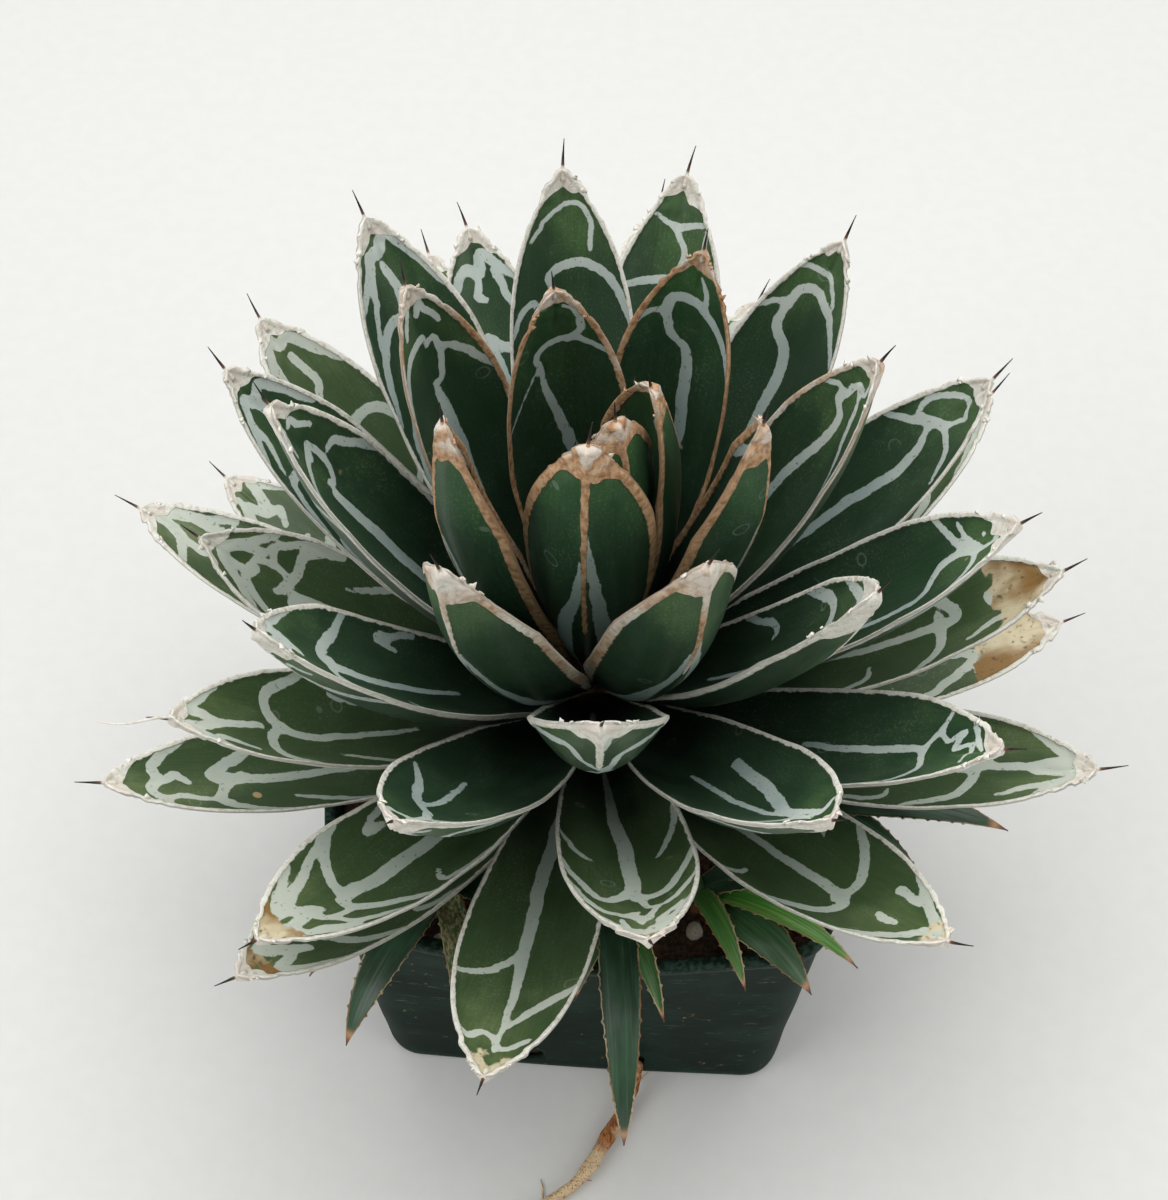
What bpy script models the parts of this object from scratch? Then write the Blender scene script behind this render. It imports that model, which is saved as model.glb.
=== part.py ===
"""Potted white-marked agave: a leaf rosette with offsets, in a square nursery pot.

Metres, +Z up. The origin is the centre of the pot's base on the floor, and the
pot's front faces -Y. Leaves follow the golden-angle spiral of the real plant,
from the youngest upright one to the oldest spreading ones.
"""

import math

import bmesh
import bpy
from mathutils import Matrix, Vector

MM = 0.001

# ---- pot -------------------------------------------------------------------
POT_HEIGHT = 0.076
POT_RIM_HALF = 0.050  # half the width across the rim, corner to corner
POT_BASE_HALF = 0.0450  # half the width across the base
POT_WALL = 0.0012
POT_FLOOR = 0.0016
POT_CORNER_RADIUS = 0.008
POT_RIM_BULGE = 0.006  # how far the crowded roots push each side out at the rim
POT_BASE_BULGE = 0.0008
BOW_POWER = 1.5  # how flat a bulging side stays towards its corners
POT_YAW = math.radians(-4)
LIP_DEPTH = 0.004
LIP_OUT = 0.0013
DRAIN_RADIUS = 0.0034
DRAIN_HEIGHT = 0.0085  # centre of each drain hole above the floor
DRAIN_SPACING = 0.023  # between the two holes of a side
DRILL_REACH = 0.008  # how far a hole's cutter reaches to each side of the wall
POT_WALL_SECTIONS = 5

# ---- soil ------------------------------------------------------------------
SOIL_BELOW_RIM = 0.006
SOIL_MOUND = 0.0015
SOIL_GAP = 0.0003
SOIL_UNEVENNESS = 0.0005
SOIL_WAVES = (190, 230)  # radians to the metre, along X and Y
SOIL_INNER_RINGS = (0.75, 0.5, 0.25)  # shares of the outline
GAP = 0.0003  # between any two pieces that rest on or in each other

# ---- stem ------------------------------------------------------------------
ROSETTE_ABOVE_RIM = 0.036  # height of the growing point above the pot's rim
ROSETTE_CENTRE = Vector((0.0, -0.002, POT_HEIGHT + ROSETTE_ABOVE_RIM))
STEM_TIP_HEIGHT = 0.002  # the stem's rounded end above the growing point
STEM_TIP_RADIUS = 0.0009
STEM_TOP_RADIUS = 0.0017
STEM_BASE_RADIUS = 0.0082
STEM_LEAFY_HEIGHT = 0.030  # length of stem that carries leaves
STEM_BURIED = 0.012
LEAF_STEM_GAP = 0.0008

# ---- rosette ---------------------------------------------------------------
DIVERGENCE = math.radians(137.508)  # golden angle between successive leaves
FIRST_AZIMUTH = math.radians(84)
SPIRAL_LEAVES = 43
OLDEST_LEAVES = (44, 46, 49, 53)  # the rest of the oldest ones have been lost
YOUNGEST_RISE = math.radians(95)
RISE_RANGE = math.radians(78)  # how much flatter the outermost leaf lies
RISE_POWER = 0.66
YOUNGEST_LENGTH = 0.080
LENGTH_GAIN = 0.026
LENGTH_GAIN_POWER = 4  # how soon in the spiral the leaves reach their full length
ATTACH_LENGTH_LOSS = 0.0035
LOWEST_ATTACH = 1.03  # share of the leafy height where the oldest leaves sit

LEAF_HALF_WIDTH = 0.0115
MATURE_WIDTH_GAIN = 0.0009
LEAF_BASE_HALF_WIDTH = 0.0028
BASE_WIDTH_GAIN = 0.0010
LEAF_BASE_THICKNESS = 0.0012
BASE_THICKNESS_GAIN = 0.0010
YOUNG_THICKNESS = 0.0023
MATURE_THICKNESS_GAIN = 0.0032
YOUNG_CHANNEL = 0.739 * LEAF_HALF_WIDTH  # how far the margins stand above the midline
MATURE_CHANNEL_LOSS = 0.217 * LEAF_HALF_WIDTH
OLD_CHANNEL_LOSS = 0.174 * LEAF_HALF_WIDTH
CHANNEL_STARTS = 0.3  # share of the length over which the channel forms
CHANNEL_FADES = 0.25  # share of the length over which it flattens to the tip
CHANNEL_BALANCE = 0.35  # share of its depth that lies under the midrib's line
MARGIN_DROP = 0.25  # how far a margin is bevelled, as a share of the thickness there
YOUNG_CURL = math.radians(26)
OLD_CURL_LOSS = math.radians(6)
MATURE_AFTER = 9  # leaves from this one on have their full thickness

BLADE_END = 0.94  # share of the length where the blade gives way to the spine
WIDEST_AT = 0.55
THICKEST_AT = 0.35
SHOULDER_POWER = 2.7  # how squarely the blade keeps its width before the tip
THINNING_POWER = 1.8  # how squarely it keeps its thickness
BLADE_TIP_HALF_WIDTH = 0.0014
BLADE_TIP_THICKNESS = 0.0016
SPINE_TIP_RADIUS = 0.00014
SPINE_BASE_RADIUS = 0.0010
SPINE_DEPTH = 1.6  # a spine's thickness in half widths
LEAF_STATIONS = (0, 0.08, 0.19, 0.32, 0.46, 0.60, 0.72, 0.82, 0.89, 0.94, 0.965, 1.0)

# Cross-section: share of the half width, and share of the thickness below the
# upper face, from one margin across the channel and back under the keel.
SECTION = (
    (-1.0, 0.0),
    (-0.55, 0.0),
    (0.0, 0.0),
    (0.55, 0.0),
    (1.0, 0.0),
    (0.62, 0.72),
    (0.0, 1.0),
    (-0.62, 0.72),
)

# How single leaves of this plant depart from the spiral: turn and rise in
# degrees, extra length and lift in millimetres.
DEPARTURES = {
    0: (-12, -3, -22, 1.5),
    1: (-3, 0, -4, 0),
    2: (-2, 5, -22, -0.5),
    3: (-6, 4, -8, 0),
    4: (10, 4, 0, 0),
    5: (-6, 3, 0, 0),
    6: (1, 0, 0, 0.5),
    7: (0, 4, 0, -0.5),
    8: (-5, 0, 0, 0),
    9: (9, 0, 0, -0.3),
    10: (-4, 2, 0, 0),
    11: (0, -2, 0, 0),
    12: (2, 4, 0, 0),
    13: (0, 0, 5, 0),
    14: (3, -1, 0, -0.8),
    15: (-4, 2, 0, 0),
    16: (0, 0, 3, 0),
    17: (4, 3, 0, 0.3),
    18: (0, 0, 4, 0),
    19: (-2, -3, 2, 0.5),
    20: (0, 3, 0, 0),
    21: (0, 0, 3, 0),
    22: (0, -2, 0, 1),
    23: (-3, 2, -2, 0),
    24: (-3, 0, 0, 0),
    25: (-2, 5, 0, 0),
    26: (0, 0, -4, 0),
    27: (-5, 0, -2, -1.5),
    28: (14, 0, -3, 0),
    29: (-2, 0, -10, 0),
    30: (-3, 5, -2, -0.5),
    31: (-2, 1, 0, 1),
    32: (-3, 0, -4, -1),
    33: (6, -2, 0, 0.5),
    34: (-7, 3, 5, 0),
    35: (-2, 0, 0, 0),
    36: (-5, 5, -16, -0.7),
    37: (-3, 0, 2, 0),
    38: (0, 1, 0, 0),
    39: (-10, 4, 4, 0),
    40: (-2, 0, 0, 0),
    41: (-6, 2, -1, -0.4),
    44: (-9, -6, -4, -3),
    46: (-11, 7, -4, -2),
    49: (-28, 5, 2, 1.9),
    53: (15, 2, -3, 0.2),
}
# Leaves of another build, the inner cone and the withered ones: change of half
# width and channel as shares of the usual half width, of thickness in
# millimetres, and of curl in degrees.
BUILDS = {
    0: (-0.61, -0.26, 0, 0),
    1: (0, 0, 0, -12),
    2: (-0.695, -0.26, -0.8, 0),
    4: (0, 0, 0, 4),
    14: (0, 0, -0.9, 0),
    41: (-0.148, 0, -1.6, 0),
    44: (-0.087, -0.087, -2, 0),
    46: (-0.087, 0, -1.5, 0),
    49: (-0.13, 0, -1.8, 0),
    53: (-0.087, -0.087, -2.2, 0),
}

# ---- offsets ---------------------------------------------------------------
OFFSET_CROWN_RADIUS = 0.0042
OFFSET_CROWN_HEIGHT = 0.007
OFFSET_CROWN_SIDES = 13
OFFSET_BURIED = 0.003
OFFSET_THICKNESS = 0.0019
OFFSET_CHANNEL = 0.0016
OFFSET_BASE_HALF_WIDTH = 0.57 * OFFSET_CROWN_RADIUS
OFFSET_CROWN_TAPER = 0.75  # the crown's top radius as a share of its base radius
OFFSET_WIDEST_AT = 0.4
OFFSET_TAPER_POWER = 1.6
OFFSET_LEAF_OFF_AXIS = 0.3  # where its leaves start, in crown radii off its axis
OFFSET_LEAF_BELOW_TOP = 0.45  # the first leaf's start below the top, in crown heights
OFFSET_LEAF_STEP = 0.1  # how much higher each next leaf starts
OFFSET_STATIONS = (0, 0.12, 0.28, 0.45, 0.62, 0.78, 0.9, 0.96, 1.0)
# name: (x, y) on the soil, in from the rim, then its leaves as
# (azimuth, first rise, last rise, length mm, half width mm)
OFFSETS = {
    "offset_front_left": (
        (0.019 - POT_RIM_HALF, 0.014 - POT_RIM_HALF),
        (
            (241, 50, -60, 37, 4.4),
            (282, 52, -80, 38, 3.2),
            (218, 46, -46, 32, 3.4),
            (312, 76, -10, 30, 3.6),
        ),
    ),
    "offset_front": (
        (0.004, 0.010 - POT_RIM_HALF),
        ((272, 58, -84, 47, 4.0), (290, 54, -50, 27, 2.4), (250, 54, -50, 22, 2.6)),
    ),
    "offset_front_right": (
        (0.020, 0.013 - POT_RIM_HALF),
        (
            (314, 54, -48, 32, 5.0),
            (328, 54, -38, 37, 3.0),
            (355, 52, -10, 34, 4.2),
            (292, 54, -44, 25, 2.4),
        ),
    ),
    "offset_right": (
        (POT_RIM_HALF - 0.010, -0.016),
        ((346, 44, -22, 46, 4.8), (322, 48, -56, 36, 4.4), (8, 44, -16, 32, 4.0)),
    ),
    "offset_back": (
        (-0.008, POT_RIM_HALF - 0.014),
        ((88, 52, -48, 41, 4.1), (132, 46, -46, 36, 3.7), (44, 49, -42, 33, 3.5)),
    ),
}

# ---- root that has grown out through a drain hole --------------------------
ROOT_RADIUS = 0.0015
ROOT_SOCKET_DEPTH = 0.008
ROOT_SOCKET_REACH = 0.012  # length of the socket's cutter, out past the wall
ROOT_PAST_WALL = 0.002  # where the root clears the hole
ROOT_SOCKET_SLACK = 2.0  # the socket's radius in root radii
# Centreline after the hole, on or just above the floor: (x, distance out from
# the wall, height of the axis)
ROOT_POINTS = (
    (0.0098, 0.0024, 0.0068),
    (0.0088, 0.0064, 0.0036),
    (0.0065, 0.0114, 0.0022),
    (0.0030, 0.0174, 0.0021),
    (-0.0005, 0.0234, 0.0022),
    (-0.0055, 0.0289, 0.0020),
    (-0.0130, 0.0334, 0.0016),
    (-0.0220, 0.0374, 0.0011),
    (-0.0300, 0.0394, 0.0006),
)
# Thickness at the start in the soil, at the hole and at each point, as a share
ROOT_THICKNESS = (0.9, 0.9, 1.0, 1.0, 0.95, 1.25, 1.2, 0.9, 0.7, 0.45, 0.25)

# ---- pebbles on the soil: (x, y, radius, height share) ---------------------
PEBBLES = {
    "pebble_left": (0.007 - POT_RIM_HALF, -0.010, 0.0052, 0.7),
    "pebble_front": (-0.0165, 0.0165 - POT_RIM_HALF, 0.0040, 0.8),
    "pebble_right": (POT_RIM_HALF - 0.0140, 0.0130 - POT_RIM_HALF, 0.0036, 0.75),
}
PEBBLE_WOBBLE = 0.10  # how far its surface departs from round, as a share


# ---- scene and materials ---------------------------------------------------
def clear_scene():
    for obj in list(bpy.data.objects):
        bpy.data.objects.remove(obj, do_unlink=True)


def new_collection(name):
    collection = bpy.data.collections.new(name)
    bpy.context.scene.collection.children.link(collection)
    return collection


def new_material(name, colour, roughness):
    material = bpy.data.materials.new(name)
    material.use_nodes = True
    shader = material.node_tree.nodes["Principled BSDF"]
    shader.inputs["Base Color"].default_value = (*colour, 1.0)
    shader.inputs["Roughness"].default_value = roughness
    shader.inputs["Metallic"].default_value = 0.0
    material.diffuse_color = (*colour, 1.0)
    return material


def place(obj, collection, material=None, smooth=True):
    collection.objects.link(obj)
    if material:
        obj.data.materials.append(material)
    if smooth and obj.type == "MESH":
        for polygon in obj.data.polygons:
            polygon.use_smooth = True
    return obj


def as_cutter(obj):
    obj.hide_render = True
    obj.display_type = "WIRE"
    return obj


def boolean(obj, other, operation):
    modifier = obj.modifiers.new(f"{operation.title()} {other.name}", "BOOLEAN")
    modifier.operation = operation
    modifier.solver = "EXACT"
    modifier.object = other


def mesh_object(name, bm):
    bmesh.ops.recalc_face_normals(bm, faces=bm.faces)
    if bm.calc_volume(signed=True) < 0:
        bmesh.ops.reverse_faces(bm, faces=bm.faces)
    mesh = bpy.data.meshes.new(name)
    bm.to_mesh(mesh)
    bm.free()
    return bpy.data.objects.new(name, mesh)


def loft(name, rings, centres=(None, None)):
    """Closes equal rings of points into one solid; an end with a centre point gets a fan."""
    bm = bmesh.new()
    made = [[bm.verts.new(point) for point in ring] for ring in rings]
    count = len(rings[0])
    for lower, upper in zip(made, made[1:]):
        for k in range(count):
            following = (k + 1) % count
            bm.faces.new((lower[k], lower[following], upper[following], upper[k]))
    for ring, centre in ((made[0], centres[0]), (made[-1], centres[1])):
        if centre is None:
            bm.faces.new(ring)
            continue
        middle = bm.verts.new(centre)
        for k in range(count):
            bm.faces.new((ring[k], ring[(k + 1) % count], middle))
    return mesh_object(name, bm)


def cylinder(name, radius, start, end, segments=24):
    """A cylinder from start to end."""
    axis = Vector(end) - Vector(start)
    bm = bmesh.new()
    bmesh.ops.create_cone(
        bm,
        cap_ends=True,
        segments=segments,
        radius1=radius,
        radius2=radius,
        depth=axis.length,
    )
    turn = axis.to_track_quat("Z", "Y").to_matrix().to_4x4()
    middle = Matrix.Translation((Vector(start) + Vector(end)) / 2)
    bmesh.ops.transform(bm, matrix=middle @ turn, verts=bm.verts)
    return mesh_object(name, bm)


# ---- pot and soil ----------------------------------------------------------
def square_ring(half, radius, bulge, height, side_steps=6, corner_steps=3):
    """A rounded square whose sides bow out by bulge, turned by the pot's yaw."""
    points = []
    straight = half - radius
    yaw = Matrix.Rotation(POT_YAW, 4, "Z")
    for side in range(4):
        turn = yaw @ Matrix.Rotation(side * math.pi / 2, 4, "Z")
        for k in range(side_steps):
            along = -straight + 2 * straight * k / side_steps
            bow = bulge * math.cos(math.pi / 2 * along / half) ** BOW_POWER
            points.append(turn @ Vector((half + bow, along, height)))
        for k in range(corner_steps):
            angle = math.pi / 2 * k / corner_steps
            edge_bow = bulge * math.cos(math.pi / 2 * straight / half) ** BOW_POWER
            reach = radius + edge_bow * (1 - math.sin(2 * angle))
            points.append(
                turn
                @ Vector(
                    (
                        straight + reach * math.cos(angle),
                        straight + reach * math.sin(angle),
                        height,
                    )
                )
            )
    return points


def pot_half(height):
    """Half the pot's width at a height, at its corners."""
    return POT_BASE_HALF + (POT_RIM_HALF - POT_BASE_HALF) * height / POT_HEIGHT


def pot_ring(height, inset):
    """The pot's section at a height, moved in by inset."""
    share = height / POT_HEIGHT
    half = pot_half(height)
    bulge = POT_BASE_BULGE + (POT_RIM_BULGE - POT_BASE_BULGE) * share**2
    return square_ring(half - inset, POT_CORNER_RADIUS - inset, bulge, height)


def make_pot(collection, cutters, material):
    lip_bottom = POT_HEIGHT - LIP_DEPTH
    heights = [
        lip_bottom * k / POT_WALL_SECTIONS for k in range(POT_WALL_SECTIONS + 1)
    ]
    rings = [pot_ring(height, 0) for height in heights]
    rings.append(pot_ring(lip_bottom, -LIP_OUT))
    rings.append(pot_ring(POT_HEIGHT, -LIP_OUT))
    rings.append(pot_ring(POT_HEIGHT, POT_WALL))
    rings += [pot_ring(height, POT_WALL) for height in heights[:0:-1]]
    rings.append(pot_ring(POT_FLOOR, POT_WALL))
    pot = place(loft("pot", rings), collection, material, smooth=False)
    for k in range(8):
        direction, across = drain_axes(k // 2)
        offset = across * (DRAIN_SPACING / 2 * (1 if k % 2 else -1))
        start = direction * (POT_BASE_HALF - DRILL_REACH) + offset
        end = direction * (POT_BASE_HALF + DRILL_REACH) + offset
        lift = Vector((0, 0, DRAIN_HEIGHT))
        hole = cylinder(f"drain_{k + 1}", DRAIN_RADIUS, start + lift, end + lift)
        boolean(pot, as_cutter(place(hole, cutters)), "DIFFERENCE")
    return pot


def drain_axes(side):
    """The outward and sideways directions of one side of the pot, the front first."""
    turn = Matrix.Rotation(POT_YAW + side * math.pi / 2, 4, "Z")
    return turn @ Vector((0, -1, 0)), turn @ Vector((1, 0, 0))


def soil_height(x, y):
    """The soil's top surface: a low mound round the stem, a little uneven."""
    top = POT_HEIGHT - SOIL_BELOW_RIM
    from_stem = math.hypot(x - ROSETTE_CENTRE.x, y - ROSETTE_CENTRE.y)
    mound = SOIL_MOUND * (1 - min(1, from_stem / POT_RIM_HALF))
    uneven = math.sin(x * SOIL_WAVES[0]) * math.cos(y * SOIL_WAVES[1])
    return top + mound + SOIL_UNEVENNESS * uneven


def make_soil(collection, cutters, material):
    bottom = POT_FLOOR + SOIL_GAP
    inset = POT_WALL + SOIL_GAP
    top = POT_HEIGHT - SOIL_BELOW_RIM
    shares = [k / POT_WALL_SECTIONS for k in range(POT_WALL_SECTIONS + 1)]
    rings = [pot_ring(bottom + (top - bottom) * share, inset) for share in shares]
    rings[-1] = [Vector((p.x, p.y, soil_height(p.x, p.y))) for p in rings[-1]]
    for share in SOIL_INNER_RINGS:
        inner = [(p.x * share, p.y * share) for p in pot_ring(top, inset)]
        rings.append([Vector((x, y, soil_height(x, y))) for x, y in inner])
    centre = Vector((0, 0, soil_height(0, 0)))
    soil = place(loft("soil", rings, (None, centre)), collection, material)
    socket = cylinder(
        "stem_socket",
        stem_radius(stem_bottom()) + GAP,
        Vector((ROSETTE_CENTRE.x, ROSETTE_CENTRE.y, stem_bottom() - GAP)),
        Vector((ROSETTE_CENTRE.x, ROSETTE_CENTRE.y, POT_HEIGHT)),
    )
    boolean(soil, as_cutter(place(socket, cutters)), "DIFFERENCE")
    for name, ((x, y), _) in OFFSETS.items():
        low = soil_height(x, y) - OFFSET_BURIED
        socket = cylinder(
            f"{name}_socket",
            OFFSET_CROWN_RADIUS + GAP,
            (x, y, low - GAP),
            (x, y, POT_HEIGHT),
        )
        boolean(soil, as_cutter(place(socket, cutters)), "DIFFERENCE")
    start, end = root_entry()
    inward = (start - end).normalized()
    socket = cylinder(
        "root_socket",
        ROOT_RADIUS * ROOT_SOCKET_SLACK,
        start + inward * GAP,
        start - inward * ROOT_SOCKET_REACH,
        segments=16,
    )
    boolean(soil, as_cutter(place(socket, cutters)), "DIFFERENCE")
    return soil


# ---- stem ------------------------------------------------------------------
def stem_bottom():
    return soil_height(ROSETTE_CENTRE.x, ROSETTE_CENTRE.y) - STEM_BURIED


def stem_radius(height):
    """The stem's radius at a height above the floor."""
    down = (ROSETTE_CENTRE.z - height) / STEM_LEAFY_HEIGHT
    share = min(1, max(0, down))
    return STEM_TOP_RADIUS + (STEM_BASE_RADIUS - STEM_TOP_RADIUS) * share


def make_stem(collection, material):
    """A lathed stem: cone-shaped where it carries leaves, then straight into the soil."""
    tip = ROSETTE_CENTRE.z + STEM_TIP_HEIGHT
    leafy_end = ROSETTE_CENTRE.z - STEM_LEAFY_HEIGHT
    profile = [(0, tip), (STEM_TIP_RADIUS, tip - STEM_TIP_RADIUS / 2)]
    profile += [(STEM_TOP_RADIUS, ROSETTE_CENTRE.z)]
    profile += [(STEM_BASE_RADIUS, leafy_end), (STEM_BASE_RADIUS, stem_bottom())]
    profile += [(0, stem_bottom())]
    mesh = bpy.data.meshes.new("stem")
    points = [(radius, 0, height) for radius, height in profile]
    edges = [(k, k + 1) for k in range(len(points) - 1)]
    mesh.from_pydata(points, edges, [])
    stem = place(bpy.data.objects.new("stem", mesh), collection, material)
    stem.location = (ROSETTE_CENTRE.x, ROSETTE_CENTRE.y, 0)
    lathe = stem.modifiers.new("Lathe", "SCREW")
    lathe.steps = 24
    lathe.render_steps = 24
    lathe.use_merge_vertices = True
    lathe.merge_threshold = 0.00001
    return stem


# ---- leaves ----------------------------------------------------------------
def leaf_shape(index):
    """Every size of one rosette leaf, from the spiral's rules and its own departures."""
    age = index / (SPIRAL_LEAVES - 1)
    ripe = min(1, index / MATURE_AFTER)
    turn, rise, longer, lift = DEPARTURES.get(index, (0, 0, 0, 0))
    wider, channel, thicker, curl = BUILDS.get(index, (0, 0, 0, 0))
    drop = STEM_LEAFY_HEIGHT * min(age, LOWEST_ATTACH) - lift * MM
    growth = 1 - (1 - min(age, 1)) ** LENGTH_GAIN_POWER
    length = YOUNGEST_LENGTH + LENGTH_GAIN * growth - ATTACH_LENGTH_LOSS * age
    height = ROSETTE_CENTRE.z - drop
    return {
        "azimuth": FIRST_AZIMUTH - DIVERGENCE * index + math.radians(turn),
        "rise": YOUNGEST_RISE - RISE_RANGE * age**RISE_POWER + math.radians(rise),
        "length": length + longer * MM,
        "height": height,
        "reach": stem_radius(height) + LEAF_STEM_GAP,
        "half_width": LEAF_HALF_WIDTH * (1 + wider) + MATURE_WIDTH_GAIN * ripe,
        "base_half_width": LEAF_BASE_HALF_WIDTH + BASE_WIDTH_GAIN * age,
        "thickness": YOUNG_THICKNESS + MATURE_THICKNESS_GAIN * ripe + thicker * MM,
        "base_thickness": LEAF_BASE_THICKNESS + BASE_THICKNESS_GAIN * age,
        "channel": YOUNG_CHANNEL
        - MATURE_CHANNEL_LOSS * ripe
        - OLD_CHANNEL_LOSS * age
        + channel * LEAF_HALF_WIDTH,
        "curl": YOUNG_CURL - OLD_CURL_LOSS * age + math.radians(curl),
    }


def half_width_at(share, base, widest):
    if share < WIDEST_AT:
        return base + (widest - base) * math.sin(math.pi / 2 * share / WIDEST_AT)
    beyond = min(1, (share - WIDEST_AT) / (BLADE_END - WIDEST_AT))
    tip = BLADE_TIP_HALF_WIDTH
    return tip + (widest - tip) * (1 - beyond**SHOULDER_POWER)


def thickness_at(share, base, thickest):
    if share < THICKEST_AT:
        return base + (thickest - base) * math.sin(math.pi / 2 * share / THICKEST_AT)
    beyond = min(1, (share - THICKEST_AT) / (BLADE_END - THICKEST_AT))
    tip = BLADE_TIP_THICKNESS
    return tip + (thickest - tip) * (1 - beyond**THINNING_POWER)


def midrib(rise, curl, length, steps=200):
    """Points (out, up, slope) along a leaf whose slope grows by curl, its chord at rise."""
    slopes = [rise + curl * (k / steps - 0.5) for k in range(steps + 1)]
    points = [(0.0, 0.0)]
    for before, after in zip(slopes, slopes[1:]):
        middle = (before + after) / 2
        out, up = points[-1]
        points.append((out + math.cos(middle) / steps, up + math.sin(middle) / steps))
    chord = math.hypot(*points[-1])
    swing = rise - math.atan2(points[-1][1], points[-1][0])
    size = length / chord
    line = []
    for (out, up), slope in zip(points, slopes):
        turned_out = (math.cos(swing) * out - math.sin(swing) * up) * size
        turned_up = (math.sin(swing) * out + math.cos(swing) * up) * size
        line.append((turned_out, turned_up, slope + swing))
    return line


def leaf_rings(shape, stations, centre):
    """Cross-sections of a leaf at each station, from its base to the end of its spine."""
    line = midrib(shape["rise"], shape["curl"], shape["length"])
    azimuth = shape["azimuth"]
    away = Vector((math.cos(azimuth), math.sin(azimuth), 0))
    across = Vector((-math.sin(azimuth), math.cos(azimuth), 0))
    up = Vector((0, 0, 1))
    root = Vector((centre.x, centre.y, shape["height"])) + away * shape["reach"]
    rings = []
    for share in stations:
        out, rise, slope = line[round(share * (len(line) - 1))]
        origin = root + away * out + up * rise
        normal = up * math.cos(slope) - away * math.sin(slope)
        if share <= BLADE_END:
            half = half_width_at(share, shape["base_half_width"], shape["half_width"])
            thick = thickness_at(share, shape["base_thickness"], shape["thickness"])
            forming = min(1, share / CHANNEL_STARTS)
            fading = min(1, (BLADE_END + 0.01 - share) / CHANNEL_FADES)
            channel = shape["channel"] * forming * fading
        else:
            taper = (1 - share) / (1 - BLADE_END)
            half = SPINE_TIP_RADIUS + (SPINE_BASE_RADIUS - SPINE_TIP_RADIUS) * taper
            thick = SPINE_DEPTH * half
            channel = 0.0
        rings.append(
            [
                origin
                + across * (x * half)
                + normal * (channel * (x * x - CHANNEL_BALANCE) - down * thick)
                - normal * (min(thick, MM) * MARGIN_DROP if abs(x) == 1 else 0)
                for x, down in SECTION
            ]
        )
    return rings


def make_leaves(collection, materials):
    order = [*range(SPIRAL_LEAVES), *OLDEST_LEAVES]
    for number, index in enumerate(order, start=1):
        rings = leaf_rings(leaf_shape(index), LEAF_STATIONS, ROSETTE_CENTRE)
        if index < MATURE_AFTER:
            material = materials["young_leaf"]
        elif index < SPIRAL_LEAVES:
            material = materials["mature_leaf"]
        else:
            material = materials["old_leaf"]
        place(loft(f"leaf_{number:02d}", rings), collection, material)


# ---- offsets ---------------------------------------------------------------
def offset_leaf_rings(crown, azimuth, first, last, length, half_width):
    """An offset's narrow leaf, arching from its first rise to its last."""
    line = midrib((first + last) / 2, last - first, length)
    away = Vector((math.cos(azimuth), math.sin(azimuth), 0))
    across = Vector((-math.sin(azimuth), math.cos(azimuth), 0))
    up = Vector((0, 0, 1))
    rings = []
    for share in OFFSET_STATIONS:
        out, rise, slope = line[round(share * (len(line) - 1))]
        normal = up * math.cos(slope) - away * math.sin(slope)
        origin = crown + away * out + up * rise
        swell = math.sin(math.pi / 2 * min(1, share / OFFSET_WIDEST_AT))
        base = OFFSET_BASE_HALF_WIDTH
        half = base + (half_width - base) * swell
        beyond = max(0, (share - OFFSET_WIDEST_AT) / (1 - OFFSET_WIDEST_AT))
        half *= 1 - beyond**OFFSET_TAPER_POWER
        half = max(half, SPINE_TIP_RADIUS)
        thick = max(OFFSET_THICKNESS * (1 - share**2), SPINE_DEPTH * SPINE_TIP_RADIUS)
        channel = OFFSET_CHANNEL * min(1, share / CHANNEL_STARTS) * (1 - share)
        rings.append(
            [
                origin + across * (x * half) + normal * (channel * x * x - down * thick)
                for x, down in SECTION
            ]
        )
    return rings


def make_offsets(collection, cutters, material):
    for name, ((x, y), leaves) in OFFSETS.items():
        low = soil_height(x, y) - OFFSET_BURIED
        crown_top = Vector((x, y, low + OFFSET_CROWN_HEIGHT))
        bm = bmesh.new()
        bmesh.ops.create_cone(
            bm,
            cap_ends=True,
            segments=OFFSET_CROWN_SIDES,
            radius1=OFFSET_CROWN_RADIUS,
            radius2=OFFSET_CROWN_RADIUS * OFFSET_CROWN_TAPER,
            depth=OFFSET_CROWN_HEIGHT,
        )
        middle = Vector((x, y, low + OFFSET_CROWN_HEIGHT / 2))
        bmesh.ops.translate(bm, vec=middle, verts=bm.verts)
        crown = place(mesh_object(name, bm), collection, material)
        for number, (azimuth, first, last, length, half_width) in enumerate(leaves):
            turn = math.radians(azimuth)
            away = Vector((math.cos(turn), math.sin(turn), 0))
            below_top = OFFSET_LEAF_BELOW_TOP - OFFSET_LEAF_STEP * number
            start = crown_top + away * OFFSET_CROWN_RADIUS * OFFSET_LEAF_OFF_AXIS
            start.z -= OFFSET_CROWN_HEIGHT * below_top
            rings = offset_leaf_rings(
                start,
                turn,
                math.radians(first),
                math.radians(last),
                length * MM,
                half_width * MM,
            )
            blade = loft(f"{name}_leaf_{number + 1}", rings)
            boolean(crown, as_cutter(place(blade, cutters)), "UNION")


# ---- root ------------------------------------------------------------------
def root_entry():
    """Where the root starts inside the soil, and where it leaves the pot's wall."""
    direction, across = drain_axes(0)
    lift = Vector((0, 0, DRAIN_HEIGHT))
    middle = across * (DRAIN_SPACING / 2) + lift
    wall = pot_half(DRAIN_HEIGHT)
    inside = middle + direction * (wall - POT_WALL - ROOT_SOCKET_DEPTH)
    outside = middle + direction * (wall + ROOT_PAST_WALL)
    return inside, outside


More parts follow.
